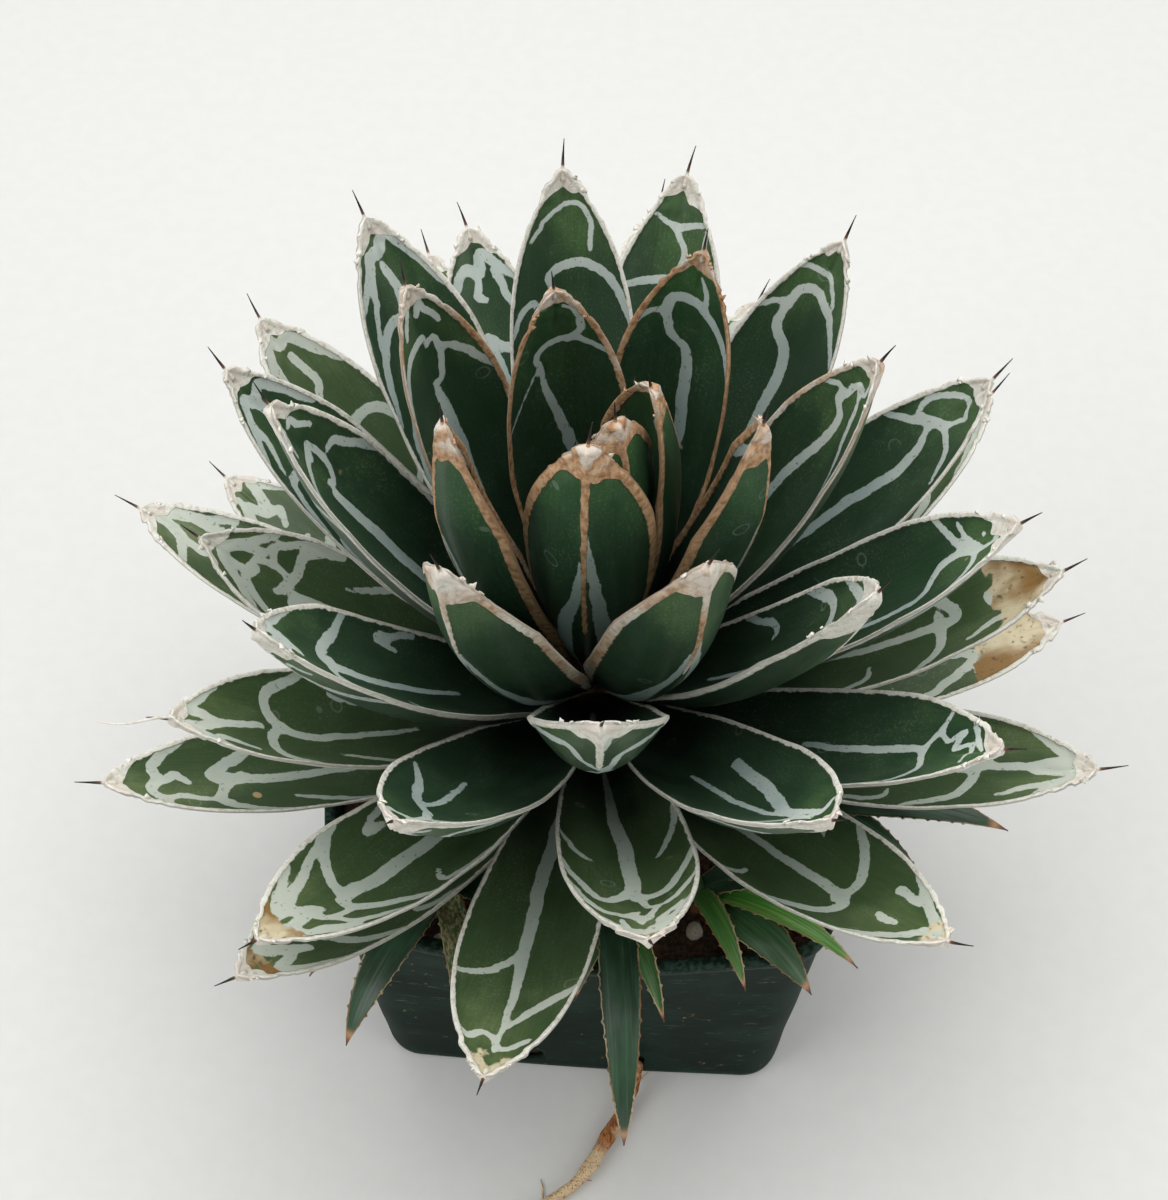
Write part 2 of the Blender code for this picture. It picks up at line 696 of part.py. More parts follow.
def make_root(collection, material):
    inside, outside = root_entry()
    curve = bpy.data.curves.new("escaped_root", "CURVE")
    curve.dimensions = "3D"
    curve.bevel_depth = ROOT_RADIUS
    curve.bevel_resolution = 1
    curve.use_fill_caps = True
    curve.resolution_u = 2
    spline = curve.splines.new("BEZIER")
    wall = pot_half(DRAIN_HEIGHT)
    points = [inside, outside]
    points += [Vector((x, -wall - out, height)) for x, out, height in ROOT_POINTS]
    spline.bezier_points.add(len(points) - 1)
    for knot, point, share in zip(spline.bezier_points, points, ROOT_THICKNESS):
        knot.co = point
        knot.radius = share
        knot.handle_left_type = "AUTO"
        knot.handle_right_type = "AUTO"
    place(bpy.data.objects.new("escaped_root", curve), collection, material)


# ---- pebbles ---------------------------------------------------------------
def make_pebbles(collection, material):
    for name, (x, y, radius, flatness) in PEBBLES.items():
        bm = bmesh.new()
        bmesh.ops.create_icosphere(bm, subdivisions=2, radius=1)
        for vertex in bm.verts:
            wobble = 1 + PEBBLE_WOBBLE * math.sin(5 * vertex.co.x + 3 * vertex.co.y)
            vertex.co = vertex.co * (radius * wobble)
            vertex.co.z *= flatness
        lowest = min(vertex.co.z for vertex in bm.verts)
        round_about = [soil_height(x, y)]
        for angle in range(6):
            reach = Vector((radius * math.cos(angle), radius * math.sin(angle)))
            round_about.append(soil_height(x + reach.x, y + reach.y))
        ground = max(round_about)
        pebble = place(mesh_object(name, bm), collection, material)
        pebble.location = (x, y, ground + GAP - lowest)


def build():
    clear_scene()
    plant = new_collection("potted_agave")
    cutters = new_collection("cutters")
    cutters.hide_render = True
    leaf_materials = {
        "young_leaf": new_material("young_leaf", (0.020, 0.055, 0.030), 0.42),
        "mature_leaf": new_material("mature_leaf", (0.030, 0.075, 0.035), 0.45),
        "old_leaf": new_material("old_leaf", (0.085, 0.120, 0.045), 0.5),
    }
    offset_leaf = new_material("offset_leaf", (0.018, 0.050, 0.024), 0.45)
    pot_plastic = new_material("pot_plastic", (0.006, 0.022, 0.018), 0.38)
    potting_soil = new_material("potting_soil", (0.055, 0.030, 0.018), 0.95)
    stem_bark = new_material("stem_bark", (0.160, 0.110, 0.060), 0.85)
    root_bark = new_material("root_bark", (0.330, 0.160, 0.060), 0.7)
    pumice = new_material("pumice", (0.360, 0.200, 0.110), 0.9)
    make_pot(plant, cutters, pot_plastic)
    make_soil(plant, cutters, potting_soil)
    make_stem(plant, stem_bark)
    make_leaves(plant, leaf_materials)
    make_offsets(plant, cutters, offset_leaf)
    make_root(plant, root_bark)
    make_pebbles(plant, pumice)


build()
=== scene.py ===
"""Potted white-marked agave: the looks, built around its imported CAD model.

Every piece is rebuilt here with the detail of the real plant, in the same
frame as the CAD: metres, +Z up, the origin under the centre of the pot, and
the pot's front facing -Y.
"""

import logging
import math
from dataclasses import dataclass, field
from enum import Enum

import bmesh
import bpy
import numpy as np
from mathutils import Matrix, Vector

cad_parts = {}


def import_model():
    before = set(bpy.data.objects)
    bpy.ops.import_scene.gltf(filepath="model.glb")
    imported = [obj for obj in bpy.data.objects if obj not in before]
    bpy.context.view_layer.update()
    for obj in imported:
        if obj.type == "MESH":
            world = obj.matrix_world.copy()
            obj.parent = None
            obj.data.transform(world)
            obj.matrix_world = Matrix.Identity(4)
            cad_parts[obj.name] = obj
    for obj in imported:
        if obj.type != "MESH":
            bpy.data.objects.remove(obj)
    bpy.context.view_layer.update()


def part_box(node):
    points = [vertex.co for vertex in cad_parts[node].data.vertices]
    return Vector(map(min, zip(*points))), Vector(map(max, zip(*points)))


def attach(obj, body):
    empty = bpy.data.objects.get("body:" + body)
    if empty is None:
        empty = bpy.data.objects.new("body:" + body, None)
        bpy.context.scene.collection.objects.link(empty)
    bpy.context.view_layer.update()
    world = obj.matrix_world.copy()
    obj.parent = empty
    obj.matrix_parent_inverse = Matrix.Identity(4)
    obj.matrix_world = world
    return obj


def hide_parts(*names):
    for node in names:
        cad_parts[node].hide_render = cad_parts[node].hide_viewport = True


LOG = logging.getLogger("potted_agave")

MM = 0.001
BODY = "root"

Array = np.ndarray
Fields = dict[str, Array]
UP = np.array((0.0, 0.0, 1.0))
EAST = np.array((1.0, 0.0, 0.0))
NORTH = np.array((0.0, 1.0, 0.0))


# ---- sizes shared with the CAD ----------------------------------------------
ROSETTE_CENTRE = np.array((0.0, -0.002, 0.112))  # growing point
STEM_TOP_RADIUS = 0.0017
STEM_BASE_RADIUS = 0.0082
STEM_LEAFY_HEIGHT = 0.030
SPIRAL_LEAVES = 43
OLDEST_LEAVES = (44, 46, 49, 53)
MATURE_AFTER = 9
LOWEST_ATTACH = 1.03  # share of the leafy stem where the oldest leaves join
ATTACH_CLEARANCE = 0.0008
# in degrees
FIRST_LEAF_TURN = 84
GOLDEN_ANGLE = 137.508
YOUNGEST_RISE = 95
RISE_RANGE = 78  # how much flatter the outermost leaf lies
YOUNG_CURL = 26
OLD_CURL_LOSS = 6
# in metres, or shares where a comment says so
RISE_POWER = 0.66  # shares: leaves flatten quickly at first
YOUNGEST_LENGTH = 0.080
LENGTH_GAIN = 0.026
ATTACH_LENGTH_LOSS = 0.0035
LEAF_HALF_WIDTH = 0.0115
MATURE_WIDTH_GAIN = 0.0009
LEAF_BASE_HALF_WIDTH = 0.0028
BASE_WIDTH_GAIN = 0.0010
YOUNG_THICKNESS = 0.0023
MATURE_THICKNESS_GAIN = 0.0032
LEAF_BASE_THICKNESS = 0.0012
BASE_THICKNESS_GAIN = 0.0010
YOUNG_CHANNEL = 0.0085  # how far the margins stand above the midline
MATURE_CHANNEL_LOSS = 0.0025
OLD_CHANNEL_LOSS = 0.0020
CHANNEL_STARTS = 0.3  # share of the length over which the channel forms
CHANNEL_FADES = 0.25  # share of the length over which it flattens to the tip
CHANNEL_BALANCE = 0.35  # share of its depth that lies under the midrib's line
BLADE_END = 0.94  # share of the length where the blade gives way to the spine
BLADE_TIP_HALF_WIDTH = 0.0014
BLADE_TIP_THICKNESS = 0.0016
WIDEST_AT = 0.55
THICKEST_AT = 0.35
POT_HEIGHT = 0.076
SOIL_BELOW_RIM = 0.006
SOIL_MOUND = 0.0015  # how much higher the soil is at the stem

# How single leaves depart from the spiral: turn and rise in degrees, extra
# length and lift in millimetres.
DEPARTURES = {
    0: (-12, -3, -22, 1.5), 1: (-3, 0, -4, 0), 2: (-2, 5, -22, -0.5), 3: (-6, 4, -8, 0),
    4: (10, 4, 0, 0), 5: (-6, 3, 0, 0), 6: (1, 0, 0, 0.5), 7: (0, 4, 0, -0.5),
    8: (-5, 0, 0, 0), 9: (9, 0, 0, -0.3), 10: (-4, 2, 0, 0), 11: (0, -2, 0, 0),
    12: (2, 4, 0, 0), 13: (0, 0, 5, 0), 14: (3, -1, 0, -0.8), 15: (-4, 2, 0, 0),
    16: (0, 0, 3, 0), 17: (4, 3, 0, 0.3), 18: (0, 0, 4, 0), 19: (-2, -3, 2, 0.5),
    20: (0, 3, 0, 0), 21: (0, 0, 3, 0), 22: (0, -2, 0, 1), 23: (-3, 2, -2, 0),
    24: (-3, 0, 0, 0), 25: (-2, 5, 0, 0), 26: (0, 0, -4, 0), 27: (-5, 0, -2, -1.5),
    28: (14, 0, -3, 0), 29: (-2, 0, -10, 0), 30: (-3, 5, -2, -0.5), 31: (-2, 1, 0, 1),
    32: (-3, 0, -4, -1), 33: (6, -2, 0, 0.5), 34: (-7, 3, 5, 0), 35: (-2, 0, 0, 0),
    36: (-5, 5, -16, -0.7), 37: (-3, 0, 2, 0), 38: (0, 1, 0, 0), 39: (-10, 4, 4, 0),
    40: (-2, 0, 0, 0), 41: (-6, 2, -1, -0.4), 44: (-9, -6, -4, -3), 46: (-11, 7, -4, -2),
    49: (-28, 5, 2, 1.9), 53: (15, 2, -3, 0.2),
}  # fmt: skip
# Leaves of another build: change of half width, channel and thickness in
# millimetres, and of curl in degrees.
BUILDS = {
    0: (-7, -3, 0, 0), 1: (0, 0, 0, -12), 2: (-8, -3, -0.8, 0), 4: (0, 0, 0, 4),
    14: (0, 0, -0.9, 0), 41: (-1.7, 0, -1.6, 0), 44: (-1, -1, -2, 0), 46: (-1, 0, -1.5, 0),
    49: (-1.5, 0, -1.8, 0), 53: (-1, -1, -2.2, 0),
}  # fmt: skip


# ---- small maths ------------------------------------------------------------
def smoothstep(low: float, high: float, value: Array) -> Array:
    """Eased 0..1 step between two values.

    Args:
        low: Value where the step starts.
        high: Value where it is complete; it may be below low.
        value: Where to evaluate.

    Returns:
        The eased share for each value.
    """
    share = np.clip((np.asarray(value, float) - low) / (high - low), 0, 1)
    return share * share * (3 - 2 * share)


def smooth_min(a: Array, b: Array, reach: float) -> Array:
    """The lower of two distances, rounded where they meet.

    Args:
        a: First distance.
        b: Second distance.
        reach: Radius of the rounding, in the same unit.

    Returns:
        The blended distance.
    """
    share = np.clip(0.5 + 0.5 * (b - a) / reach, 0, 1)
    return b + (a - b) * share - reach * share * (1 - share)


def value_noise(x: Array, y: Array, seed: float) -> Array:
    """Smooth repeatable noise.

    Args:
        x: First coordinate, in cells.
        y: Second coordinate, in cells.
        seed: Picks one of many patterns.

    Returns:
        Noise from -1 to 1, one cell between bumps.
    """
    x, y = np.broadcast_arrays(np.asarray(x, float), np.asarray(y, float))
    column, row = np.floor(x), np.floor(y)
    along, up = x - column, y - row
    along = along * along * (3 - 2 * along)
    up = up * up * (3 - 2 * up)

    def corner(dx: int, dy: int) -> Array:
        """Hashed value of one cell corner."""
        phase = (column + dx) * 127.1 + (row + dy) * 311.7 + seed * 74.7
        return np.modf(np.abs(np.sin(phase)) * 43758.5453)[0] * 2 - 1

    low = corner(0, 0) * (1 - along) + corner(1, 0) * along
    high = corner(0, 1) * (1 - along) + corner(1, 1) * along
    return low * (1 - up) + high * up


def around(sides: int) -> Array:
    """Evenly spaced angles round one turn."""
    return np.linspace(0, 2 * np.pi, sides + 1)[:-1]


def headings(turn: float) -> tuple[Array, Array]:
    """Level unit vectors away from an axis and across, at this turn round it."""
    away = np.array((math.cos(turn), math.sin(turn), 0.0))
    return away, np.array((-math.sin(turn), math.cos(turn), 0.0))


def hoops(centres: Array, radii: Array, side: Array, top: Array, sides: int) -> Array:
    """Rings of points round a line.

    Args:
        centres: The line's points, one row each.
        radii: Radius for each point, as rows x 1 or rows x sides.
        side: Direction from a centre to its first point.
        top: Direction a quarter turn on.
        sides: Points in each ring.

    Returns:
        The points as rows x sides x 3.
    """
    angle = around(sides)
    first = (radii * np.cos(angle))[..., None] * side
    return centres[:, None] + first + (radii * np.sin(angle))[..., None] * top


def smooth_line(points: Array, per_span: int = 7) -> Array:
    """Rounds a line of few points into one of many.

    Args:
        points: The points that the line passes through.
        per_span: Steps between two of them.

    Returns:
        Points on a Catmull-Rom curve through the given ones.
    """
    points = np.asarray(points, float)
    padded = np.vstack((2 * points[0] - points[1], points, 2 * points[-1] - points[-2]))
    line = []
    for k in range(len(points) - 1):
        a, b, c, d = padded[k : k + 4]
        for t in np.arange(per_span)[:, None] / per_span:
            line.append(
                0.5
                * (2 * b + (c - a) * t + (2 * a - 5 * b + 4 * c - d) * t**2)
                + 0.5 * (3 * b - a - 3 * c + d) * t**3
            )
    return np.vstack((*line, points[-1:]))


def distance_to_line(x: Array, y: Array, line: Array, widths: Array) -> Array:
    """Distance from points to a line that has a width of its own.

    Args:
        x: First coordinates of the points.
        y: Second coordinates of the points.
        line: The line's points, one row each.
        widths: Half the line's width at each of them.

    Returns:
        Distance outside the line, negative inside it.
    """
    start, step = line[:-1], np.diff(line, axis=0)
    size = np.maximum((step**2).sum(1), 1e-9)
    from_x, from_y = x[:, None] - start[:, 0], y[:, None] - start[:, 1]
    share = np.clip((from_x * step[:, 0] + from_y * step[:, 1]) / size, 0, 1)
    away_x, away_y = from_x - share * step[:, 0], from_y - share * step[:, 1]
    half = widths[:-1] + share * np.diff(widths)
    return (np.hypot(away_x, away_y) - half).min(1)


def to_linear(code: str) -> tuple[float, float, float, float]:
    """Turns an sRGB hex code into a linear colour.

    Args:
        code: Colour such as "#3A5A40".

    Returns:
        Linear red, green, blue and an alpha of 1.
    """
    parts = [int(code[k : k + 2], 16) / 255 for k in (1, 3, 5)]
    linear = [p / 12.92 if p <= 0.04045 else ((p + 0.055) / 1.055) ** 2.4 for p in parts]
    return (*linear, 1.0)


# ---- mesh making ------------------------------------------------------------
@dataclass
class Patchwork:
    """Collects grids and small bodies, with a value per vertex, into one mesh."""

    points: list[Array] = field(default_factory=list)
    faces: list[tuple[int, ...]] = field(default_factory=list)
    fields: list[Fields] = field(default_factory=list)
    count: int = 0

    def add(self, points: Array, faces: list[tuple[int, ...]], fields: Fields) -> None:
        """Adds one patch.

        Args:
            points: Its vertices, one row each, in metres.
            faces: Its faces, counted from its own first vertex.
            fields: Values per vertex by name; one number stands for all.
        """
        total = len(points)
        self.points.append(np.asarray(points, float))
        self.faces += [tuple(corner + self.count for corner in face) for face in faces]
        self.fields.append({k: np.broadcast_to(v, (total,)).astype(float) for k, v in fields.items()})
        self.count += total

    def add_tube(self, rings: Array, fields: Fields) -> None:
        """Adds a tube through rings of equal size, closed at both ends.

        Args:
            rings: Points as rings x sides x 3.
            fields: Values per vertex by name, as rings x sides arrays or numbers.
        """
        rows, sides = rings.shape[:2]
        faces = grid_faces(rows, sides)
        faces.append(tuple(range(sides))[::-1])
        faces.append(tuple((rows - 1) * sides + k for k in range(sides)))
        flat = {k: np.broadcast_to(v, (rows, sides)).ravel() for k, v in fields.items()}
        self.add(rings.reshape(-1, 3), faces, flat)

    def finish(self, name: str, material: bpy.types.Material) -> bpy.types.Object:
        """Makes the object.

        Args:
            name: Name of the piece.
            material: Its finish.

        Returns:
            The linked object, shaded smooth.
        """
        mesh = bpy.data.meshes.new(name)
        mesh.from_pydata(np.vstack(self.points), [], self.faces)
        for key in sorted({key for fields in self.fields for key in fields}):
            parts = [f.get(key, np.zeros(len(p))) for f, p in zip(self.fields, self.points)]
            attribute = mesh.attributes.new(key, "FLOAT", "POINT")
            attribute.data.foreach_set("value", np.concatenate(parts).astype(np.float32))
        mesh.polygons.foreach_set("use_smooth", np.ones(len(mesh.polygons), bool))
        mesh.update()
        mesh.materials.append(material)
        piece = bpy.data.objects.new(name, mesh)
        bpy.context.scene.collection.objects.link(piece)
        return piece


def grid_faces(rows: int, sides: int) -> list[tuple[int, ...]]:
    """Faces between rings of a closed tube, facing out where rings run anticlockwise.

    Args:
        rows: Number of rings.
        sides: Points in each.

    Returns:
        Four corners for each face.
    """
    row, side = np.meshgrid(np.arange(rows - 1), np.arange(sides), indexing="ij")
    following = (side + 1) % sides
    corners = (
        row * sides + side,
        row * sides + following,
        (row + 1) * sides + following,
        (row + 1) * sides + side,
    )
    return [tuple(face) for face in np.stack(corners, -1).reshape(-1, 4).tolist()]


def hand_over(piece: bpy.types.Object, slot: str, *nodes: str) -> bpy.types.Object:
    """Ties a finished piece to the frame.

    Args:
        piece: The piece.
        slot: The record's material slot for it; not used.
        *nodes: CAD nodes that it stands for.

    Returns:
        The same piece.
    """
    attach(piece, BODY)
    if nodes:
        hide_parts(*nodes)
    LOG.info("%s: %d faces", piece.name, len(piece.data.polygons))
    return piece


# ---- materials --------------------------------------------------------------
Socket = bpy.types.NodeSocket
Value = Socket | float | str | tuple[float, ...]


class Node(Enum):
    """The nodes in use.

    Each is its type, its inputs in the order that they are given, the output
    that is read, its settings, and the inputs that never change.
    """

    STORED = ("ShaderNodeAttribute", (), "Fac", {}, {})
    PLACE = ("ShaderNodeTexCoord", (), "Object", {}, {})
    SCALED = ("ShaderNodeMapping", ("Vector", "Scale"), 0, {}, {})
    JOINED = ("ShaderNodeCombineXYZ", (0, 1, 2), 0, {}, {})
    NOISE = ("ShaderNodeTexNoise", ("Vector", "Detail"), 0, {}, {"Scale": 1.0})
    CELLS = ("ShaderNodeTexVoronoi", ("Vector",), 0, {"feature": "F1"}, {"Scale": 1.0})
    ADD = ("ShaderNodeMath", (0, 1), 0, {"operation": "ADD"}, {})
    SUBTRACT = ("ShaderNodeMath", (0, 1), 0, {"operation": "SUBTRACT"}, {})
    MULTIPLY = ("ShaderNodeMath", (0, 1), 0, {"operation": "MULTIPLY"}, {})
    MAXIMUM = ("ShaderNodeMath", (0, 1), 0, {"operation": "MAXIMUM"}, {})
    ABSOLUTE = ("ShaderNodeMath", (0,), 0, {"operation": "ABSOLUTE"}, {})
    # value, where the eased step starts and ends, and its results at both
    STEP = ("ShaderNodeMapRange", (0, 1, 2, 3, 4), 0, {"interpolation_type": "SMOOTHSTEP"}, {})
    # share of the second, then two colours or two numbers
    MIX = ("ShaderNodeMix", (0, 6, 7), 2, {"data_type": "RGBA"}, {})
    BLEND = ("ShaderNodeMix", (0, 2, 3), 0, {"data_type": "FLOAT"}, {})
    BUMP = ("ShaderNodeBump", ("Height", "Distance"), 0, {}, {"Strength": 1.0})
    SURFACE = ("ShaderNodeBsdfPrincipled", (), 0, {}, {})
    OUTPUT = ("ShaderNodeOutputMaterial", ("Surface",), None, {}, {})


class Finish:
    """A material in the making: its nodes, and the patterns that most finishes share."""

    def __init__(self, name: str) -> None:
        """Starts an empty material with this name."""
        self.material = bpy.data.materials.new(name)
        self.material.use_nodes = True
        self.tree = self.material.node_tree
        self.tree.nodes.clear()

    def add(self, kind: Node, *values: Value, **more: Value) -> Socket | None:
        """Adds a node with its settings and links.

        Args:
            kind: Which node.
            *values: Its inputs in the kind's order: numbers, hex colours or sockets to link from.
            **more: More settings, or inputs where the name has a capital, by name.

        Returns:
            The output that is read, if it has one.
        """
        type_name, order, output, own_settings, fixed = kind.value
        node = self.tree.nodes.new(type_name)
        named = {name: more.pop(name) for name in list(more) if name[0].isupper()}
        for name, value in {**own_settings, **more}.items():
            setattr(node, name, value)
        for name, value in {**fixed, **dict(zip(order, values)), **named}.items():
            if isinstance(value, Socket):
                self.tree.links.new(value, node.inputs[name])
            else:
                node.inputs[name].default_value = to_linear(value) if isinstance(value, str) else value
        return None if output is None else node.outputs[output]

    def stored(self, name: str) -> Socket:
        """The value stored on the mesh under this name."""
        return self.add(Node.STORED, attribute_name=name)

    def skin(self, across_mm: float, along_mm: float) -> Socket:
        """Coordinates on a leaf's skin, from its stored place across and along.

        Args:
            across_mm: Cell size across the leaf.
            along_mm: Cell size along it.

        Returns:
            A vector socket, counted in cells.
        """
        across = self.add(Node.MULTIPLY, self.stored("across"), 1 / across_mm)
        along = self.add(Node.MULTIPLY, self.stored("along"), 1 / along_mm)
        return self.add(Node.JOINED, across, along, self.stored("seed"))

    def skin_clouds(self, across_mm: float, along_mm: float, detail: float = 2.0) -> Socket:
        """Cloud noise from 0 to 1 on a leaf's skin, with cells of this size."""
        return self.add(Node.NOISE, self.skin(across_mm, along_mm), detail)

    def solid_clouds(self, per_mm: float | tuple[float, ...], detail: float = 2.0) -> Socket:
        """Cloud noise from 0 to 1 through a solid body.

        Args:
            per_mm: Cells to the millimetre, for all three axes or for each.
            detail: How many finer layers it has.

        Returns:
            The noise.
        """
        scale = tuple(1000 * size for size in np.broadcast_to(per_mm, 3))
        spot = self.add(Node.SCALED, self.add(Node.PLACE), scale)
        return self.add(Node.NOISE, spot, detail)

    def ragged(self, distance: Socket, wobble: Socket, reach: float, blur: float) -> Socket:
        """1 inside a stored outline, with an edge that wanders.

        Args:
            distance: Stored distance in millimetres, negative inside.
            wobble: Noise from 0 to 1.
            reach: How far the edge wanders, in millimetres.
            blur: Half the softness of the edge, in millimetres.

        Returns:
            The mask.
        """
        shift = self.add(Node.MULTIPLY, self.add(Node.SUBTRACT, wobble, 0.5), 2 * reach)
        return self.add(Node.STEP, self.add(Node.ADD, distance, shift), -blur, blur, 1, 0)

    def close(self, shader: dict[str, Value], height: Socket, depth_mm: float) -> bpy.types.Material:
        """Ends the material in one surface with a raised texture.

        Args:
            shader: Inputs of the surface shader.
            height: The texture's height, 0 to 1.
            depth_mm: Height of its bumps.

        Returns:
            The material.
        """
        bump = self.add(Node.BUMP, height, depth_mm * MM)
        self.add(Node.OUTPUT, self.add(Node.SURFACE, **shader, Normal=bump))
        return self.material


@dataclass(frozen=True)
class LeafCuticle:
    """Waxy agave cuticle with pale bud imprints and a horny rim.

    The skin is thick, smooth and slightly glossy, with a thin bloom of wax that
    greys it. The imprints are flat and matt; the rim is dry, pale horn that
    browns with handling and age.
    """

    name: str
    shade: str  # painted shade: the dark green deep in the rosette, also the colour of the darker fibres
    green: str  # green of the exposed blade
    tip: str  # painted light: the lighter green towards the tip, where light reaches
    imprint: str
    # imprint colour where light reaches: painted light
    imprint_tip: str
    roughness: float
    horn_roughness: float = 0.62
    relief_mm: float = 0.22
    wax: dict[str, float] = field(
        default_factory=lambda: {"IOR": 1.45, "Coat Weight": 0.10, "Coat Roughness": 0.35}
    )

    def make(self) -> bpy.types.Material:
        """Builds the material.

        Returns:
            The finished leaf material.
        """
        f = Finish(self.name)
        share = f.stored("share")
        grain = f.skin_clouds(0.9, 1.3, 3.0)
        fine = f.skin_clouds(0.35, 0.5)
        cloud = f.skin_clouds(9.0, 16.0, 3.0)
        fibre = f.skin_clouds(0.35, 9.0, 3.0)
        # green: dark at the base, lighter where light reaches, in soft clouds
        lit = f.add(Node.ADD, share, f.add(Node.MULTIPLY, f.add(Node.SUBTRACT, cloud, 0.5), 0.7))
        colour = f.add(Node.MIX, f.add(Node.STEP, lit, 0.05, 0.62), self.shade, self.green)
        colour = f.add(Node.MIX, f.add(Node.STEP, lit, 0.66, 1.02), colour, self.tip)
        colour = f.add(Node.MIX, f.add(Node.STEP, fibre, 0.35, 0.7, 0.0, 0.20), colour, self.shade)
        # wax bloom: fine grey speckle, and rings left by dried drops
        thin_wax = f.add(Node.STEP, cloud, 0.35, 0.75, 0.05, 0.34)
        bloom = f.add(Node.MULTIPLY, f.add(Node.STEP, fine, 0.5, 0.8), thin_wax)
        colour = f.add(Node.MIX, bloom, colour, "#8FA392")
        drops = f.add(Node.CELLS, f.skin(9.5, 9.5))
        ring = f.add(Node.ABSOLUTE, f.add(Node.SUBTRACT, drops, 0.135))
        dried = f.add(Node.STEP, cloud, 0.46, 0.56, 0, 0.20)
        ring = f.add(Node.MULTIPLY, f.add(Node.STEP, ring, 0.022, 0.008), dried)
        colour = f.add(Node.MIX, ring, colour, "#A9B8AC")
        # pale imprints of the neighbouring leaves
        mark = f.ragged(f.stored("imprint"), grain, 0.30, 0.09)
        fleck = f.add(Node.STEP, f.skin_clouds(0.5, 1.1), 0.66, 0.72, 0, 0.6)
        mark = f.add(Node.MULTIPLY, mark, f.add(Node.SUBTRACT, 0.95, fleck))
        # the imprints too are painted paler where light reaches, a painted highlight
        pale = f.add(Node.MIX, f.add(Node.STEP, lit, 0.35, 0.95), self.imprint, self.imprint_tip)
        colour = f.add(Node.MIX, mark, colour, pale)
        # tan scars and dry ends
        scar = f.add(Node.STEP, f.add(Node.CELLS, f.skin(17, 17)), 0.070, 0.055)
        scarred = f.add(Node.MULTIPLY, scar, f.add(Node.STEP, f.skin_clouds(40, 40), 0.50, 0.56))
        colour = f.add(Node.MIX, scarred, colour, "#B99E74")
        dry = f.ragged(f.stored("dry"), f.skin_clouds(3.0, 3.5, 3.0), 5.0, 0.5)
        husk = f.add(Node.MIX, f.add(Node.STEP, cloud, 0.42, 0.62), "#D8CBA9", "#94713F")
        husk = f.add(Node.MIX, f.add(Node.STEP, grain, 0.55, 0.8), husk, "#5E4327")
        colour = f.add(Node.MIX, dry, colour, husk)
        # horny rim, keel and cap
        horn = f.ragged(f.stored("horn"), f.skin_clouds(1.1, 1.6, 2.5), 0.35, 0.10)
        uneven = f.add(Node.MULTIPLY, f.add(Node.SUBTRACT, cloud, 0.5), 1.1)
        aged = f.add(Node.ADD, f.stored("tan"), uneven)
        white = f.add(Node.MIX, f.add(Node.STEP, grain, 0.45, 0.75), "#E9E7DC", "#C9C2B0")
        tan = f.add(Node.MIX, f.add(Node.STEP, grain, 0.35, 0.7), "#C9A47E", "#9A6F4C")
        rim = f.add(Node.MIX, f.add(Node.STEP, aged, 0.35, 0.75), white, tan)
        rim = f.add(Node.MIX, f.add(Node.STEP, fine, 0.62, 0.78, 0, 0.55), rim, "#7C5638")
        # painted highlight: the middle of the cap is painted paler, in broken patches
        highlight_breakup = f.add(Node.STEP, f.skin_clouds(2.4, 3.4), 0.42, 0.54)
        cap_highlight = f.add(Node.MULTIPLY, f.add(Node.STEP, share, 0.885, 0.915), highlight_breakup)
        rim = f.add(Node.MIX, f.add(Node.MULTIPLY, cap_highlight, 0.85), rim, "#DDD3C6")
        colour = f.add(Node.MIX, horn, colour, rim)
        # terminal spine: brown at its foot, nearly black to its point
        spine = f.stored("spine")
        thorn = f.add(Node.MIX, f.add(Node.STEP, spine, 0.25, 0.9), "#6A4630", "#221815")
        colour = f.add(Node.MIX, f.add(Node.STEP, spine, 0.10, 0.30), colour, thorn)
        matt = f.add(Node.MAXIMUM, mark, horn)
        rough = f.add(Node.BLEND, matt, self.roughness, self.horn_roughness)
        rough = f.add(Node.ADD, rough, f.add(Node.STEP, cloud, 0.3, 0.7, -0.05, 0.07))
        gnarled = f.add(Node.ADD, 0.4, f.add(Node.MULTIPLY, fine, 0.8))
        height = f.add(Node.MULTIPLY, horn, gnarled)
        height = f.add(Node.ADD, height, f.add(Node.MULTIPLY, fibre, 0.14))
        height = f.add(Node.ADD, height, f.add(Node.MULTIPLY, mark, f.add(Node.MULTIPLY, grain, 0.25)))
        shader = {"Base Color": colour, "Roughness": rough, **self.wax}
        return f.close(shader, height, self.relief_mm)


# ---- bud imprints -----------------------------------------------------------
class Face(Enum):
    """The two faces of a leaf, and which way its sides run when seen tip up."""

    UPPER = -1
    LOWER = 1


@dataclass(frozen=True)
class Stroke:
    """One pale line on a leaf's face.

    Points are (share of the half width, share of the length), seen with the
    tip up; widths are halves in millimetres at its start, middle and end.
    """

    points: tuple[tuple[float, float], ...]
    widths: tuple[float, float, float] = (0.5, 0.7, 0.5)

    def moved(self, flip: int, rng: np.random.Generator, reach: float) -> "Stroke":
        """The stroke as another leaf has it.

        Args:
            flip: -1 mirrors it.
            rng: Source of the small differences.
            reach: Largest shift, as a share.

        Returns:
            The varied stroke.
        """
        shifts = rng.uniform(-reach, reach, (len(self.points), 2)) * (1, 0.45)
        points = np.asarray(self.points) * (flip, 1) + shifts
        points[:, 1] = np.clip(points[:, 1], 0.03, 0.93)
        return Stroke(tuple(map(tuple, points)), self.widths)


